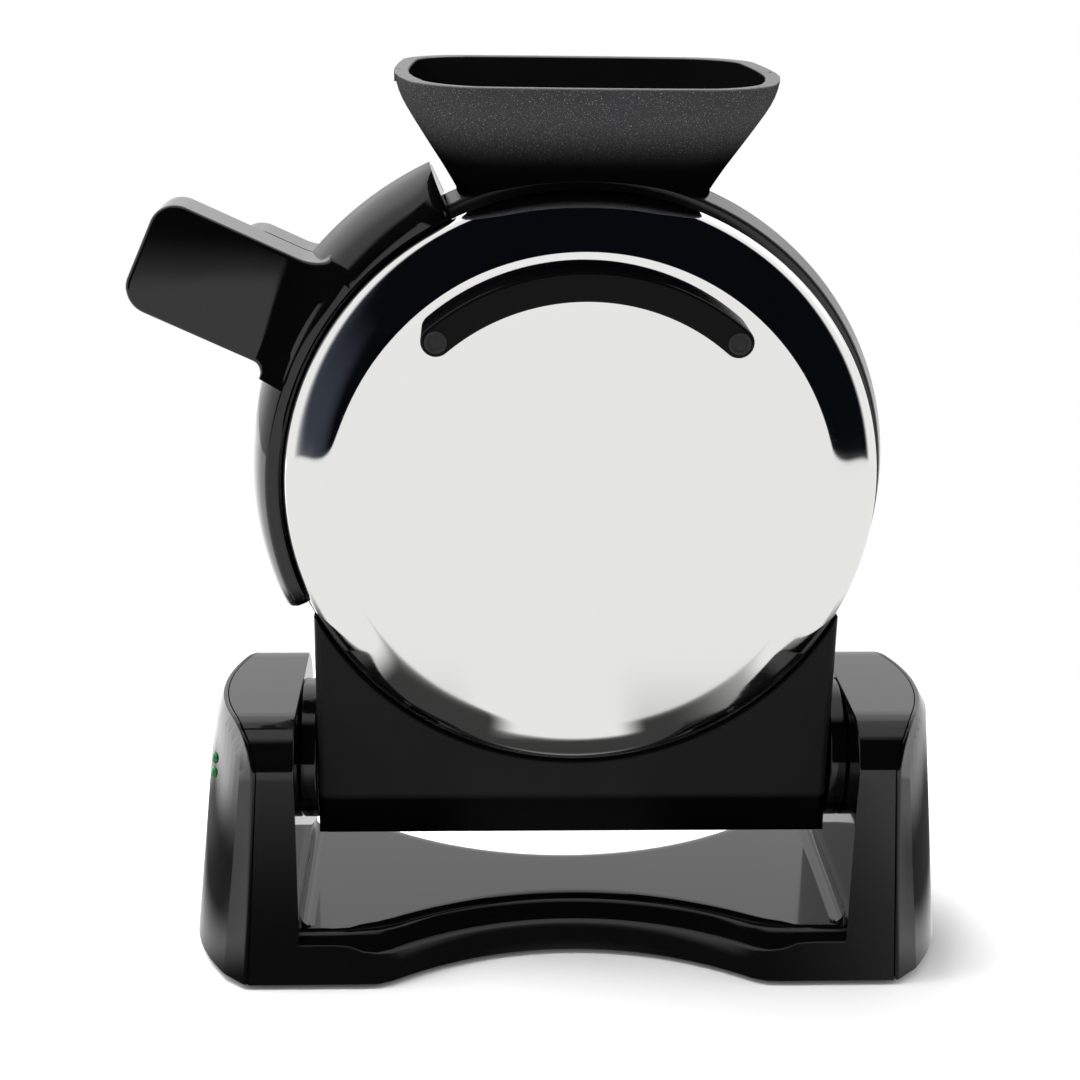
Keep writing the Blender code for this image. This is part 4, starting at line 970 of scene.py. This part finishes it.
def makeCradle():
    c = cradle
    side, inner = c["halfWidth"], c["halfWidth"] - c["wall"]
    shell = cradleBlock("cradleShell", -1, c["bottomZ"], True)
    weld(shell, *[rod("ear", c["earRadius"], inner, side - same, place) for place in (leftOf, rightOf)])
    carve(shell, *seatTools(frontOf))
    carve(shell, pocketTool(-1, c["bottomZ"] + c["wall"], -past, c["faceOut"] - c["wall"]))
    carve(shell, *[rod("pinTool", c["pinRadius"], inner - past, side + past, place) for place in (leftOf, rightOf)])

    def fromIron(co):
        return hypot(co.x - midX, co.z - ironZ)
    radius = cover["radius"] + c["seatGap"]
    roundEdges(shell, c["rimEdge"], 3, lambda e: levelEdge(e, depth, -c["faceOut"])
               and levelEdge(e, fromIron, radius, 2 * same))
    dress(shell, "front_half", "gloss_cradle", "cradle", 35)


def makeCradleBack():
    c = cradle
    sheet = pocketTool(-1, c["bottomZ"] + c["wall"] + snug, c["inner"], c["inner"] + c["backThickness"], snug)
    sheet.name = sheet.data.name = "cradleBackCover"
    wide, deep, top = c["cut"]
    carve(sheet, block("topTool", (midX - wide, -deep, c["backTopZ"]), (midX + wide, deep, top)))
    inner = c["halfWidth"] - c["wall"]
    for place in (leftOf, rightOf):
        carve(sheet, rod("notchTool", c["earRadius"] + snug, inner - c["knuckle"] - 2 * snug, inner + snug, place))
    softEdges(sheet, c["backEdge"], 2, 50)
    dress(sheet, "front_half", "matte_inner", "cradle_back")


def makeBracket(name, node, side, place):
    c = cradle
    shell = cradleBlock(name, 1, c["bracketBottomZ"], False)
    carve(shell, *seatTools(rearOf))
    carve(shell, pocketTool(1, c["bracketBottomZ"] + c["wall"], -past, c["faceOut"] - c["wall"]))
    far = midX - side * (c["halfWidth"] + past)
    carve(shell, block("halfTool", (midX, -past, 0), (far, c["faceOut"] + past, ironZ)))
    outer = c["halfWidth"] - c["wall"] - snug
    inner = outer - c["knuckle"]
    carve(shell, rod("clearTool", c["earRadius"] + snug, outer, c["halfWidth"] + past, place))
    weld(shell, rod("knuckle", c["earRadius"] - snug, inner, outer, place),
         block("arm", (midX + side * inner, c["armStart"], hingeZ),
               (midX + side * outer, c["armDepth"], c["bracketBottomZ"] + c["wall"])))
    half = c["square"] / 2
    carve(shell, block("squareTool", (midX + side * (inner - past), -half, hingeZ - half),
                       (midX + side * (outer + past), half, hingeZ + half)))
    dress(shell, "base", "gloss_cradle", node, 35)


makeCradle()
makeCradleBack()
makeBracket("leftRearBracketShell", "left_rear_bracket", -1, leftOf)
makeBracket("rightRearBracketShell", "right_rear_bracket", 1, rightOf)
print("cradle and brackets moulded")


# Hinge hubs

hub = {"radius": 0.030, "inner": 0.1088, "outer": 0.1157, "edge": 0.0008, "spigot": 0.011, "spigotEnd": 0.1213,
       "bore": 0.0063}


def makeHub(name, node, place):
    h = hub
    edge, corner = h["edge"], h["radius"] - h["edge"]
    profile = [(h["bore"], h["inner"]), *arcPoints((corner, h["inner"] + edge), edge, -90, 0, 4),
               *arcPoints((corner, h["outer"] - edge), edge, 0, 90, 4),
               (h["spigot"], h["outer"]), (h["spigot"], h["spigotEnd"]), (h["bore"], h["spigotEnd"])]
    dress(turned(name, profile, place, 96, "loop"), "base", "gloss_hub", node, 40)


makeHub("leftHubRing", "left_hinge_hub", leftOf)
makeHub("rightHubRing", "right_hinge_hub", rightOf)


# Base: two posts on a low bridge, and the bowed side caps

base = {"bottomZ": 0.0025, "topZ": 0.1195, "innerX": 0.116, "halfDepth": 0.051, "crown": 0.021, "wall": 0.003,
        "seamX": 0.147, "seamBow": 0.0172, "seamSlope": 0.07, "capSlope": 0.111, "capBow": 0.0215, "capStep": 0.0018,
        "capBulge": 0.0054, "capChamfer": 0.0068, "capFoot": 0.0012, "slices": 14, "crownSteps": 14, "edge": 0.0008,
        "gap": 0.0003, "seamEdge": 0.0006}


bridge = {"topZ": 0.0265, "arcHalfWidth": 0.0805, "arcDepth": 0.0265, "arcBlend": 0.004, "roll": 0.0108,
          "rollNearPost": 0.006, "postStart": 0.086, "postReach": 0.012, "lean": 14.0, "footRound": 0.006,
          "rimDrop": 0.02, "hollowShare": 0.3, "arcSteps": 40, "rollSteps": 7}


def seamShift(y, z, slope, bow):
    return slope * (base["topZ"] - z) - bow * (y / base["halfDepth"]) ** 2


def postOutline(inset=0.0, low=None):
    half, top, crown = (base[key] - inset for key in ("halfDepth", "topZ", "crown"))
    low = base["bottomZ"] + inset if low is None else low
    return [(-half, low), (half, low),
            *arcPoints((half - crown, top - crown), crown, 0, 90, base["crownSteps"]),
            *arcPoints((-half + crown, top - crown), crown, 90, 180, base["crownSteps"])]


def bentBlock(name, side, layers):
    # Outlines stacked along X, sliced across Y, then curved with the seam.
    # A layer is an outline, its x, and the curve, slope and bow there.
    piece = skinRings(name, [[Vector((layer[1], y, z)) for y, z in layer[0]] for layer in layers])
    reach = base["halfDepth"]
    slicePiece(piece, [(0, reach * (i / base["slices"] - 1), 0) for i in range(1, 2 * base["slices"])], (0, 1, 0))
    stations = [layer[1:] for layer in layers]
    for vert in piece.data.vertices:
        curve, slope, bow = bendAt(vert.co.x, stations)
        vert.co.x += curve * seamShift(vert.co.y, vert.co.z, slope, bow)
        vert.co.x = midX + side * vert.co.x
    return tidyMesh(piece)


def bendAt(x, stations):
    for low, high in zip(stations, stations[1:]):
        if x <= high[0] or high == stations[-1]:
            share = clamped((x - low[0]) / (high[0] - low[0]))
            return [mix(a, b, share) for a, b in zip(low[1:], high[1:])]


def postLayers(inset, start, end, low=None):
    outline = postOutline(inset, low)
    seam = (base["seamSlope"], base["seamBow"])
    return [(outline, start, 0.0, *seam), (outline, end, 1.0, *seam)]


def bridgeOutline(inset, halfLength):
    # Straight beside the posts and hollowed by a shallow arc in front and behind
    b = bridge
    chord, sag, blend = b["arcHalfWidth"], b["arcDepth"], b["arcBlend"]
    radius = (chord * chord + sag * sag) / (2 * sag)
    centreY = -base["halfDepth"] + sag - radius
    flat = -base["halfDepth"] + inset
    front = []
    for i in range(b["arcSteps"] + 1):
        x = mix(-halfLength, halfLength, i / b["arcSteps"])
        arc = centreY + sqrt(max((radius + inset) ** 2 - x * x, 0))
        closeness = max(1 - abs(arc - flat) / blend, 0)
        front.append((x, max(arc, flat) + closeness * closeness * blend / 4))
    return front + [(x, -y) for x, y in reversed(front)]


def makeBridge():
    # The wall rises to a crease, then the rolled edge leans back to the flat top
    b = bridge
    halfLength = base["innerX"] + base["wall"]
    outer, inner = (bridgeOutline(inset, halfLength) for inset in (0, b["roll"]))
    rings = [[Vector((midX + x, y, base["bottomZ"])) for x, y in outer]]
    start = radians(b["lean"])
    for i in range(b["rollSteps"] + 1):
        turn = mix(start, pi / 2, i / b["rollSteps"])
        amount = (1 - cos(turn) - (1 - cos(start))) / cos(start)
        rise = (sin(turn) - sin(start)) / (1 - sin(start))
        ring = []
        for (x, y0), (x, y1) in zip(outer, inner):
            roll = mix(b["roll"], b["rollNearPost"], eased((abs(x) - b["postStart"]) / b["postReach"]))
            ring.append(Vector((midX + x, mix(y0, y1, amount * roll / b["roll"]), b["topZ"] - roll * (1 - rise))))
        rings.append(ring)
    return skinRings("bridgeBlock", rings)


def makeHousing():
    b = base
    shell, other = (bentBlock(name, side, postLayers(0, b["innerX"], b["seamX"]))
                    for name, side in (("baseHousingShell", 1), ("leftPost", -1)))

    def innerRim(edge):
        return (levelEdge(edge, sideways, b["innerX"]) and edge.calc_face_angle(0) > sharp
                and min(v.co.z for v in edge.verts) > bridge["topZ"] - bridge["rimDrop"])
    for post in (shell, other):
        roundEdges(post, b["edge"], 3, innerRim)
    weld(shell, other, makeBridge())
    roundEdges(shell, bridge["footRound"], 8, lambda e: levelEdge(e, sideways, b["innerX"])
               and levelEdge(e, height, bridge["topZ"]))
    low = b["bottomZ"] - past
    for side in (-1, 1):
        carve(shell, bentBlock("postHollow", side, postLayers(b["wall"], b["innerX"] + b["wall"],
                                                              b["seamX"] + past, low)))
    outline = bridgeOutline(b["wall"] + bridge["roll"] * bridge["hollowShare"], b["innerX"] + 2 * b["wall"])
    carve(shell, skinRings("bridgeHollow", [[Vector((midX + x, y, z)) for x, y in outline]
                                            for z in (low, bridge["topZ"] - b["wall"])]))
    for place in (leftOf, rightOf):
        carve(shell, rod("hubTool", hub["spigot"] + snug, b["innerX"] - past, b["innerX"] + 2 * past, place))
    carve(shell, rod("glandTool", gland["neck"] + snug, b["halfDepth"] - 2 * past, b["halfDepth"] + past, glandPlace))
    dress(shell, "base", "gloss_housing", "base_housing", 32)


def capLayers(inset, start, end, bulge):
    # The last outline is drawn in at its sides and top, and a little at its foot
    b = base
    full = postOutline(inset)
    middle, half = (b["bottomZ"] + b["topZ"]) / 2, (b["topZ"] - b["bottomZ"]) / 2
    fy, fz = (1 - b["capChamfer"] / size for size in (b["halfDepth"], half))
    foot = b["bottomZ"] + b["capFoot"]
    small = [(y * fy, middle + (z - middle) * fz if z > middle else max(z, foot)) for y, z in full]
    seam = (b["seamSlope"], b["seamBow"])
    return [(full, start, 1.0, *seam), (full, end, 1.0, *seam), (small, bulge, 1.0, b["capSlope"], b["capBow"])]


lens = {"radius": 0.0024, "dome": 0.0012, "tip": 0.1}


def makeCap(name, node, side):
    b = base
    start, end = b["seamX"] + b["gap"], b["seamX"] + b["capBulge"]
    shell = bentBlock(name, side, capLayers(0, start, start + b["capStep"], end))
    softEdges(shell, b["seamEdge"], 2, 25)
    carve(shell, bentBlock("capHollow", side, capLayers(b["wall"], start - past, start + b["capStep"] - past,
                                                        end - b["wall"])))
    for lensNode in ("power_lens", "ready_lens") if side < 0 else ():
        spot = middleOf(lensNode)

        def lensPlace(p, q, out):
            return Vector((spot.x - out, spot.y + p, spot.z + q))
        carve(shell, rod("lensTool", lens["radius"] + snug, -3 * past, 3 * past, lensPlace, 32))
    dress(shell, "base", "gloss_cap", node, 28)


gland = {"radius": 0.0078, "length": 0.0045, "neck": 0.0055, "bore": 0.0034, "edge": 0.0012, "lip": 0.0006}
glandSpot = middleOf("cord_gland")


def glandPlace(p, q, out):
    return Vector((glandSpot.x + p, out, glandSpot.z + q))


makeHousing()
makeCap("leftCapShell", "left_side_cap", -1)
makeCap("rightCapShell", "right_side_cap", 1)
print("base moulded")


# Small fittings: lenses, feet, gland, screws and the bar on the cover

def domed(radius, rise, height, tip):
    # A round side and a low dome, up to a small flat at the tip
    dome = [(radius * cos(radians(t)), rise + (height - rise) * sin(radians(t))) for t in range(0, 90, 15)]
    return [(radius, 0), *dome, (radius * tip, height)]


def makeLens(name, node):
    low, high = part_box(node)
    spot = (low + high) / 2
    deep = high.x - low.x

    def place(p, q, out):
        return Vector((high.x - out, spot.y + p, spot.z + q))
    profile = domed(lens["radius"], deep - lens["dome"], deep, lens["tip"])
    dress(turned(name, profile, place, 32), "base", "green_lens", node, 60)


makeLens("powerLensDome", "power_lens")
makeLens("readyLensDome", "ready_lens")


def makeGland():
    g = gland
    inner = base["halfDepth"] - base["wall"] - snug
    start = base["halfDepth"] + snug
    end = start + g["length"]
    profile = [(g["bore"], inner), (g["neck"], inner), (g["neck"], start), (g["radius"], start),
               *arcPoints((g["radius"] - g["edge"], end - g["edge"]), g["edge"], 0, 90, 5),
               (g["bore"] + g["lip"], end), (g["bore"], end - g["lip"])]
    dress(turned("glandGrommet", profile, glandPlace, 48, "loop"), "base", "foot_rubber", "cord_gland")


makeGland()


foot = {"hollow": 0.55, "ring": 0.65, "edge": 0.0006}


def makeFoot(name, node):
    low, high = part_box(node)
    spot = (low + high) / 2
    radius = (high.x - low.x) / 2

    def place(p, q, out):
        return Vector((spot.x + p, spot.y + q, out))
    edge = foot["edge"]
    profile = [(radius * foot["hollow"], edge), (radius * foot["ring"], 0), (radius - edge, 0), (radius, edge),
               (radius, high.z)]
    dress(turned(name, profile, place, 48), "base", "foot_rubber", node)


for side in ("left", "right"):
    for end in ("front", "rear"):
        makeFoot("%s%sFootPad" % (side, end.title()), "%s_%s_rubber_foot" % (side, end))


screw = {"dome": 0.0007, "tip": 0.12, "cross": 0.0011, "crossReach": 0.0019, "crossDepth": 0.0009}


def makeScrew(name, node, axis):
    # A low domed head with a cross recess. axis is the way the head faces.
    low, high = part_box(node)
    spot = (low + high) / 2
    axis = Vector(axis)
    tall = abs((high - low).dot(axis))
    across = Vector((1, 0, 0))
    other = axis.cross(across)

    def place(p, q, out):
        return spot + across * p + other * q + axis * (out - tall / 2)
    head = turned(name, domed((high.x - low.x) / 2, tall - screw["dome"], tall, screw["tip"]), place, 32)
    reach, half = screw["crossReach"], screw["cross"] / 2
    for p, q in ((reach, half), (half, reach)):
        carve(head, block("crossTool", place(-p, -q, tall - screw["crossDepth"]), place(p, q, tall + past)))
    dress(head, "base", "screw_steel", node, 40)


for side in ("left", "right"):
    for row in ("lower", "upper"):
        makeScrew("%s%sBracketScrew" % (side, row.title()), "%s_%s_bracket_screw" % (side, row), (0, 1, 0))
    for spot in ("post", "bridge"):
        makeScrew("%s%sScrew" % (side, spot.title()), "%s_%s_screw" % (side, spot), (0, 0, -1))
print("fittings made")


bar = {"radius": 0.0878, "halfDegrees": 40.9, "width": 0.0118, "low": 0.0383, "high": 0.0503, "edge": 0.0012,
       "arcSteps": 48, "endSteps": 14, "edgeTurns": (22, 45, 67, 90)}
pad = {"radius": 0.0043, "edge": 0.0003, "rim": 0.0012, "dish": 0.0014, "dishDrop": 0.00035}


def barOutline(inset):
    half, wide, radius = bar["halfDegrees"], bar["width"] / 2 - inset, bar["radius"]
    ends = []
    for at, first in ((90 + half, 90 + half), (90 - half, 270 - half)):
        centre = (radius * cos(radians(at)), radius * sin(radians(at)))
        ends.append(arcPoints(centre, wide, first, first + 180, bar["endSteps"])[1:-1])
    return [*arcPoints((0, 0), radius + wide, 90 - half, 90 + half, bar["arcSteps"]), *ends[0],
            *arcPoints((0, 0), radius - wide, 90 + half, 90 - half, bar["arcSteps"]), *ends[1]]


def makeBar():
    edge, top = bar["edge"], bar["high"]
    stations = [(0, bar["low"]), (0, top - edge)]
    stations += [(edge * (1 - cos(radians(t))), top - edge * (1 - sin(radians(t)))) for t in bar["edgeTurns"]]
    body = skinRings("footBarMoulding", [[frontOf(x, y, out) for x, y in barOutline(inset)]
                                         for inset, out in stations])
    dress(body, "front_half", "bar_plastic", "foot_bar", 35)


def makePad(name, node):
    low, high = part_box(node)
    spot = (low + high) / 2
    radius, top = pad["radius"], -low.y

    def place(p, q, out):
        return Vector((spot.x + p, -out, spot.z + q))
    profile = [(radius, -high.y), (radius, top - pad["edge"]), (radius - pad["edge"], top),
               (radius - pad["rim"], top), (radius - pad["dish"], top - pad["dishDrop"])]
    dress(turned(name, profile, place, 48), "front_half", "foot_rubber", node)


makeBar()
makePad("leftPadDisc", "left_bar_pad")
makePad("rightPadDisc", "right_bar_pad")
print("bar on the cover made")


# CAD nodes that stay get the finish of their record slot

slotOf = {row["node"]: row["material_slot"] for row in frame["record"]["subparts"]}
for name, node in frame["nodes"].items():
    if name not in replacedNodes:
        for place in node.material_slots:
            place.material = finishes[slotOf[name]]
print("CAD nodes kept:", sorted(set(frame["nodes"]) - replacedNodes))


# Light, floor and camera

stage = {"radius": 1.60, "rim": (1.22, 1.34), "frontStretch": 0.82, "white": 0.9, "fade": (0.24, 0.44),
         "ambient": 0.60, "sky": 1.0, "backSky": 1.6, "dark": (0.0018, 0.0026, 0.0042),
         "dusk": (0.045, 0.052, 0.070)}
# Where a shadow is painted on the table that gloss mirrors, in front of the base and beside it, and where a pool of
# light is painted on it behind
gloom = {"frontStart": (0.0, 0.04), "frontEnd": (0.08, 0.40), "frontWidth": (0.15, 0.19), "frontDeep": 0.95,
         "tongueWidth": (0.035, 0.06), "tongueStart": (0.052, 0.062), "rightSide": (0.08, 0.26),
         "sideStart": (0.17, 0.21), "sideEnd": (0.26, 0.34), "sideFront": (-0.06, 0.0), "sideBack": (0.12, 0.24),
         "sideDeep": 0.9, "level": 0.97, "glow": 1.5, "glowStart": (0.03, 0.10), "glowEnd": (0.8, 1.3),
         "glowLeft": (-0.24, -0.16)}


def tablePaintedShadowAndGlow(tree, x, y):
    # The table's level as gloss sees it, with the painted shadow and the painted pool of light
    g = gloom
    across, ahead = abs(x - midX), 0 - y
    front = (tree.rising(ahead, g["frontStart"]) * tree.falling(ahead, g["frontEnd"])
             * tree.falling(across, g["frontWidth"]) * tree.falling(x, g["rightSide"]))
    tongue = tree.falling(across, g["tongueWidth"]) * tree.rising(ahead, g["tongueStart"])
    side = (tree.rising(across, g["sideStart"]) * tree.falling(across, g["sideEnd"])
            * tree.rising(y, g["sideFront"]) * tree.falling(y, g["sideBack"]))
    glow = tree.rising(y, g["glowStart"]) * tree.falling(y, g["glowEnd"]) * tree.falling(x, g["glowLeft"])
    # Painted shadow darkens the table in front of the base and beside it; a painted pool of light brightens it behind
    return ((g["level"] + g["glow"] * glow) * (1 - g["frontDeep"] * front * (1 - tongue))
            * (1 - g["sideDeep"] * side))


def makeFloor():
    # A round white table. It fades into the white all round, and keeps the shadow near the base.
    onlySelect()
    bpy.ops.mesh.primitive_circle_add(vertices=96, radius=stage["radius"], fill_type="NGON")
    floor = bpy.context.object
    floor.name = "paleFloor"
    paper = bpy.data.materials.new("floorPaper")
    tree = NodeTree(paper)
    output = tree.nodes["Material Output"]
    tree.nodes.remove(tree.nodes["Principled BSDF"])
    x, y, z = tree.axes()
    far = (x * x + y * y) ** 0.5
    squeezed = y * stage["frontStretch"]
    oval = (x * x + squeezed * squeezed) ** 0.5
    matte = tree.node("ShaderNodeBsdfDiffuse", {}, {"Color": grey(stage["white"])})
    beyond = tree.node("ShaderNodeBsdfTransparent", {}, {"Color": (1, 1, 1, 1)})
    shown = tree.either(tree.rising(far, stage["fade"]), matte, tree.light("ShaderNodeEmission"))
    # Gloss sees the table as an emission with the painted shadow and the painted pool of light
    mirrored = tree.light("ShaderNodeEmission", tablePaintedShadowAndGlow(tree, x, y))
    mirrored = tree.either(tree.rising(oval, stage["rim"]), mirrored, beyond)
    plain = tree.either(tree.ray(0), matte, shown)
    tree.feed(output.inputs["Surface"], tree.either(tree.ray(3), plain, mirrored))
    floor.data.materials.append(paper)


# What gloss mirrors above the table: a dark room in front, over an edge that rises as it turns to the front,
# with a paler wall far left, and a bright screen behind
room = {"start": (0.38, 0.16), "startX": (-0.3, 0.3), "startWidth": (0, 0.16), "edge": (-0.20, -0.06),
        "edgeTurn": (0.60, 0.95), "edgeLeft": -0.172, "leftX": (-0.09, -0.05), "edgeWidth": (-0.04, 0),
        "top": (0.86, 0.97), "duskX": (-0.66, -0.86), "screenTurn": (-0.1, -0.6), "screenLow": (0.10, 0.35),
        "screenHigh": (0.75, 0.95)}


def makeWorld():
    # White all round to the camera. Gloss sees a dark room in front and a bright screen behind.
    world = bpy.data.worlds.new("studioWorld")
    bpy.context.scene.world = world
    tree = NodeTree(world)
    r = room
    x, y, z = tree.axes(0)
    ahead = (0 - y) / (x * x + y * y + same) ** 0.5
    inFront = tree.rising(ahead - tree.remap(x, *r["startX"], *r["start"]), r["startWidth"])
    edge = tree.remap(ahead, *r["edgeTurn"], *r["edge"])
    edge = edge + (r["edgeLeft"] - edge) * tree.falling(x, r["leftX"])
    dark = inFront * tree.rising(z - edge, r["edgeWidth"]) * tree.falling(z, r["top"])
    behind = (tree.rising(ahead, r["screenTurn"]) * tree.rising(z, r["screenLow"])
              * tree.falling(z, r["screenHigh"]))
    screen = tree.blend(behind, grey(stage["sky"]), grey(stage["backSky"]))
    wall = tree.blend(tree.rising(x, r["duskX"]), (*stage["dark"], 1), (*stage["dusk"], 1))
    soft = tree.light("ShaderNodeBackground", stage["ambient"])
    mirror = tree.light("ShaderNodeBackground", 1.0, tree.blend(dark, screen, wall))
    unseen = tree.either(tree.ray(3), soft, mirror)
    output = next(n for n in tree.nodes if n.type == "OUTPUT_WORLD")
    tree.feed(output.inputs["Surface"], tree.either(tree.ray(0) + tree.ray(6), unseen,
                                                    tree.light("ShaderNodeBackground")))


lamps = (
    {"name": "overhead", "place": (-0.5, 0.16, 1.5), "aim": (0, 0.0, 0.15), "size": (1.3, 0.9), "power": 42},
    {"name": "leftBox", "place": (-1.3, -0.2, 0.8), "aim": (0, 0, 0.2), "size": (0.5, 1.0), "power": 5},
    {"name": "rightBox", "place": (1.3, -0.1, 0.8), "aim": (0, 0, 0.2), "size": (0.5, 1.0), "power": 5},
)


def makeLamps():
    for lamp in lamps:
        data = bpy.data.lights.new(lamp["name"], "AREA")
        data.shape = "RECTANGLE"
        data.size, data.size_y = lamp["size"]
        data.energy = lamp["power"]
        made = bpy.data.objects.new(lamp["name"], data)
        made.location = lamp["place"]
        aim = Vector(lamp["aim"]) - Vector(lamp["place"])
        made.rotation_euler = aim.to_track_quat("-Z", "Y").to_euler()
        made.visible_glossy = False  # gloss mirrors the stage, not the lamps
        bpy.context.scene.collection.objects.link(made)


camera = {"place": (midX - 0.0459, -0.7228, 0.4427), "azimuth": 2.281, "down": 19.182, "roll": 0.811,
          "focalPixels": 1827.0, "imagePixels": 1080, "middlePixels": (534.94, 526.64), "sensor": 36.0}


def makeCamera():
    c = camera
    az, el, roll = (radians(c[k]) for k in ("azimuth", "down", "roll"))
    ahead = Vector((sin(az) * cos(el), cos(az) * cos(el), -sin(el)))
    right = Vector((cos(az), -sin(az), 0))
    up = right.cross(ahead)
    right, up = right * cos(roll) + up * sin(roll), up * cos(roll) - right * sin(roll)
    data = bpy.data.cameras.new("photoCamera")
    data.sensor_width = c["sensor"]
    data.lens = c["focalPixels"] / c["imagePixels"] * c["sensor"]
    half = c["imagePixels"] / 2
    data.shift_x = (half - c["middlePixels"][0]) / c["imagePixels"]
    data.shift_y = (c["middlePixels"][1] - half) / c["imagePixels"]
    data.clip_start = 0.01
    made = bpy.data.objects.new("photoCamera", data)
    turn = Matrix((right, up, -ahead)).transposed().to_4x4()
    turn.translation = Vector(c["place"])
    made.matrix_world = turn
    bpy.context.scene.collection.objects.link(made)
    bpy.context.scene.camera = made


makeFloor()
makeWorld()
makeLamps()
makeCamera()
bpy.context.scene.view_settings.view_transform = "Standard"
print("stage set")
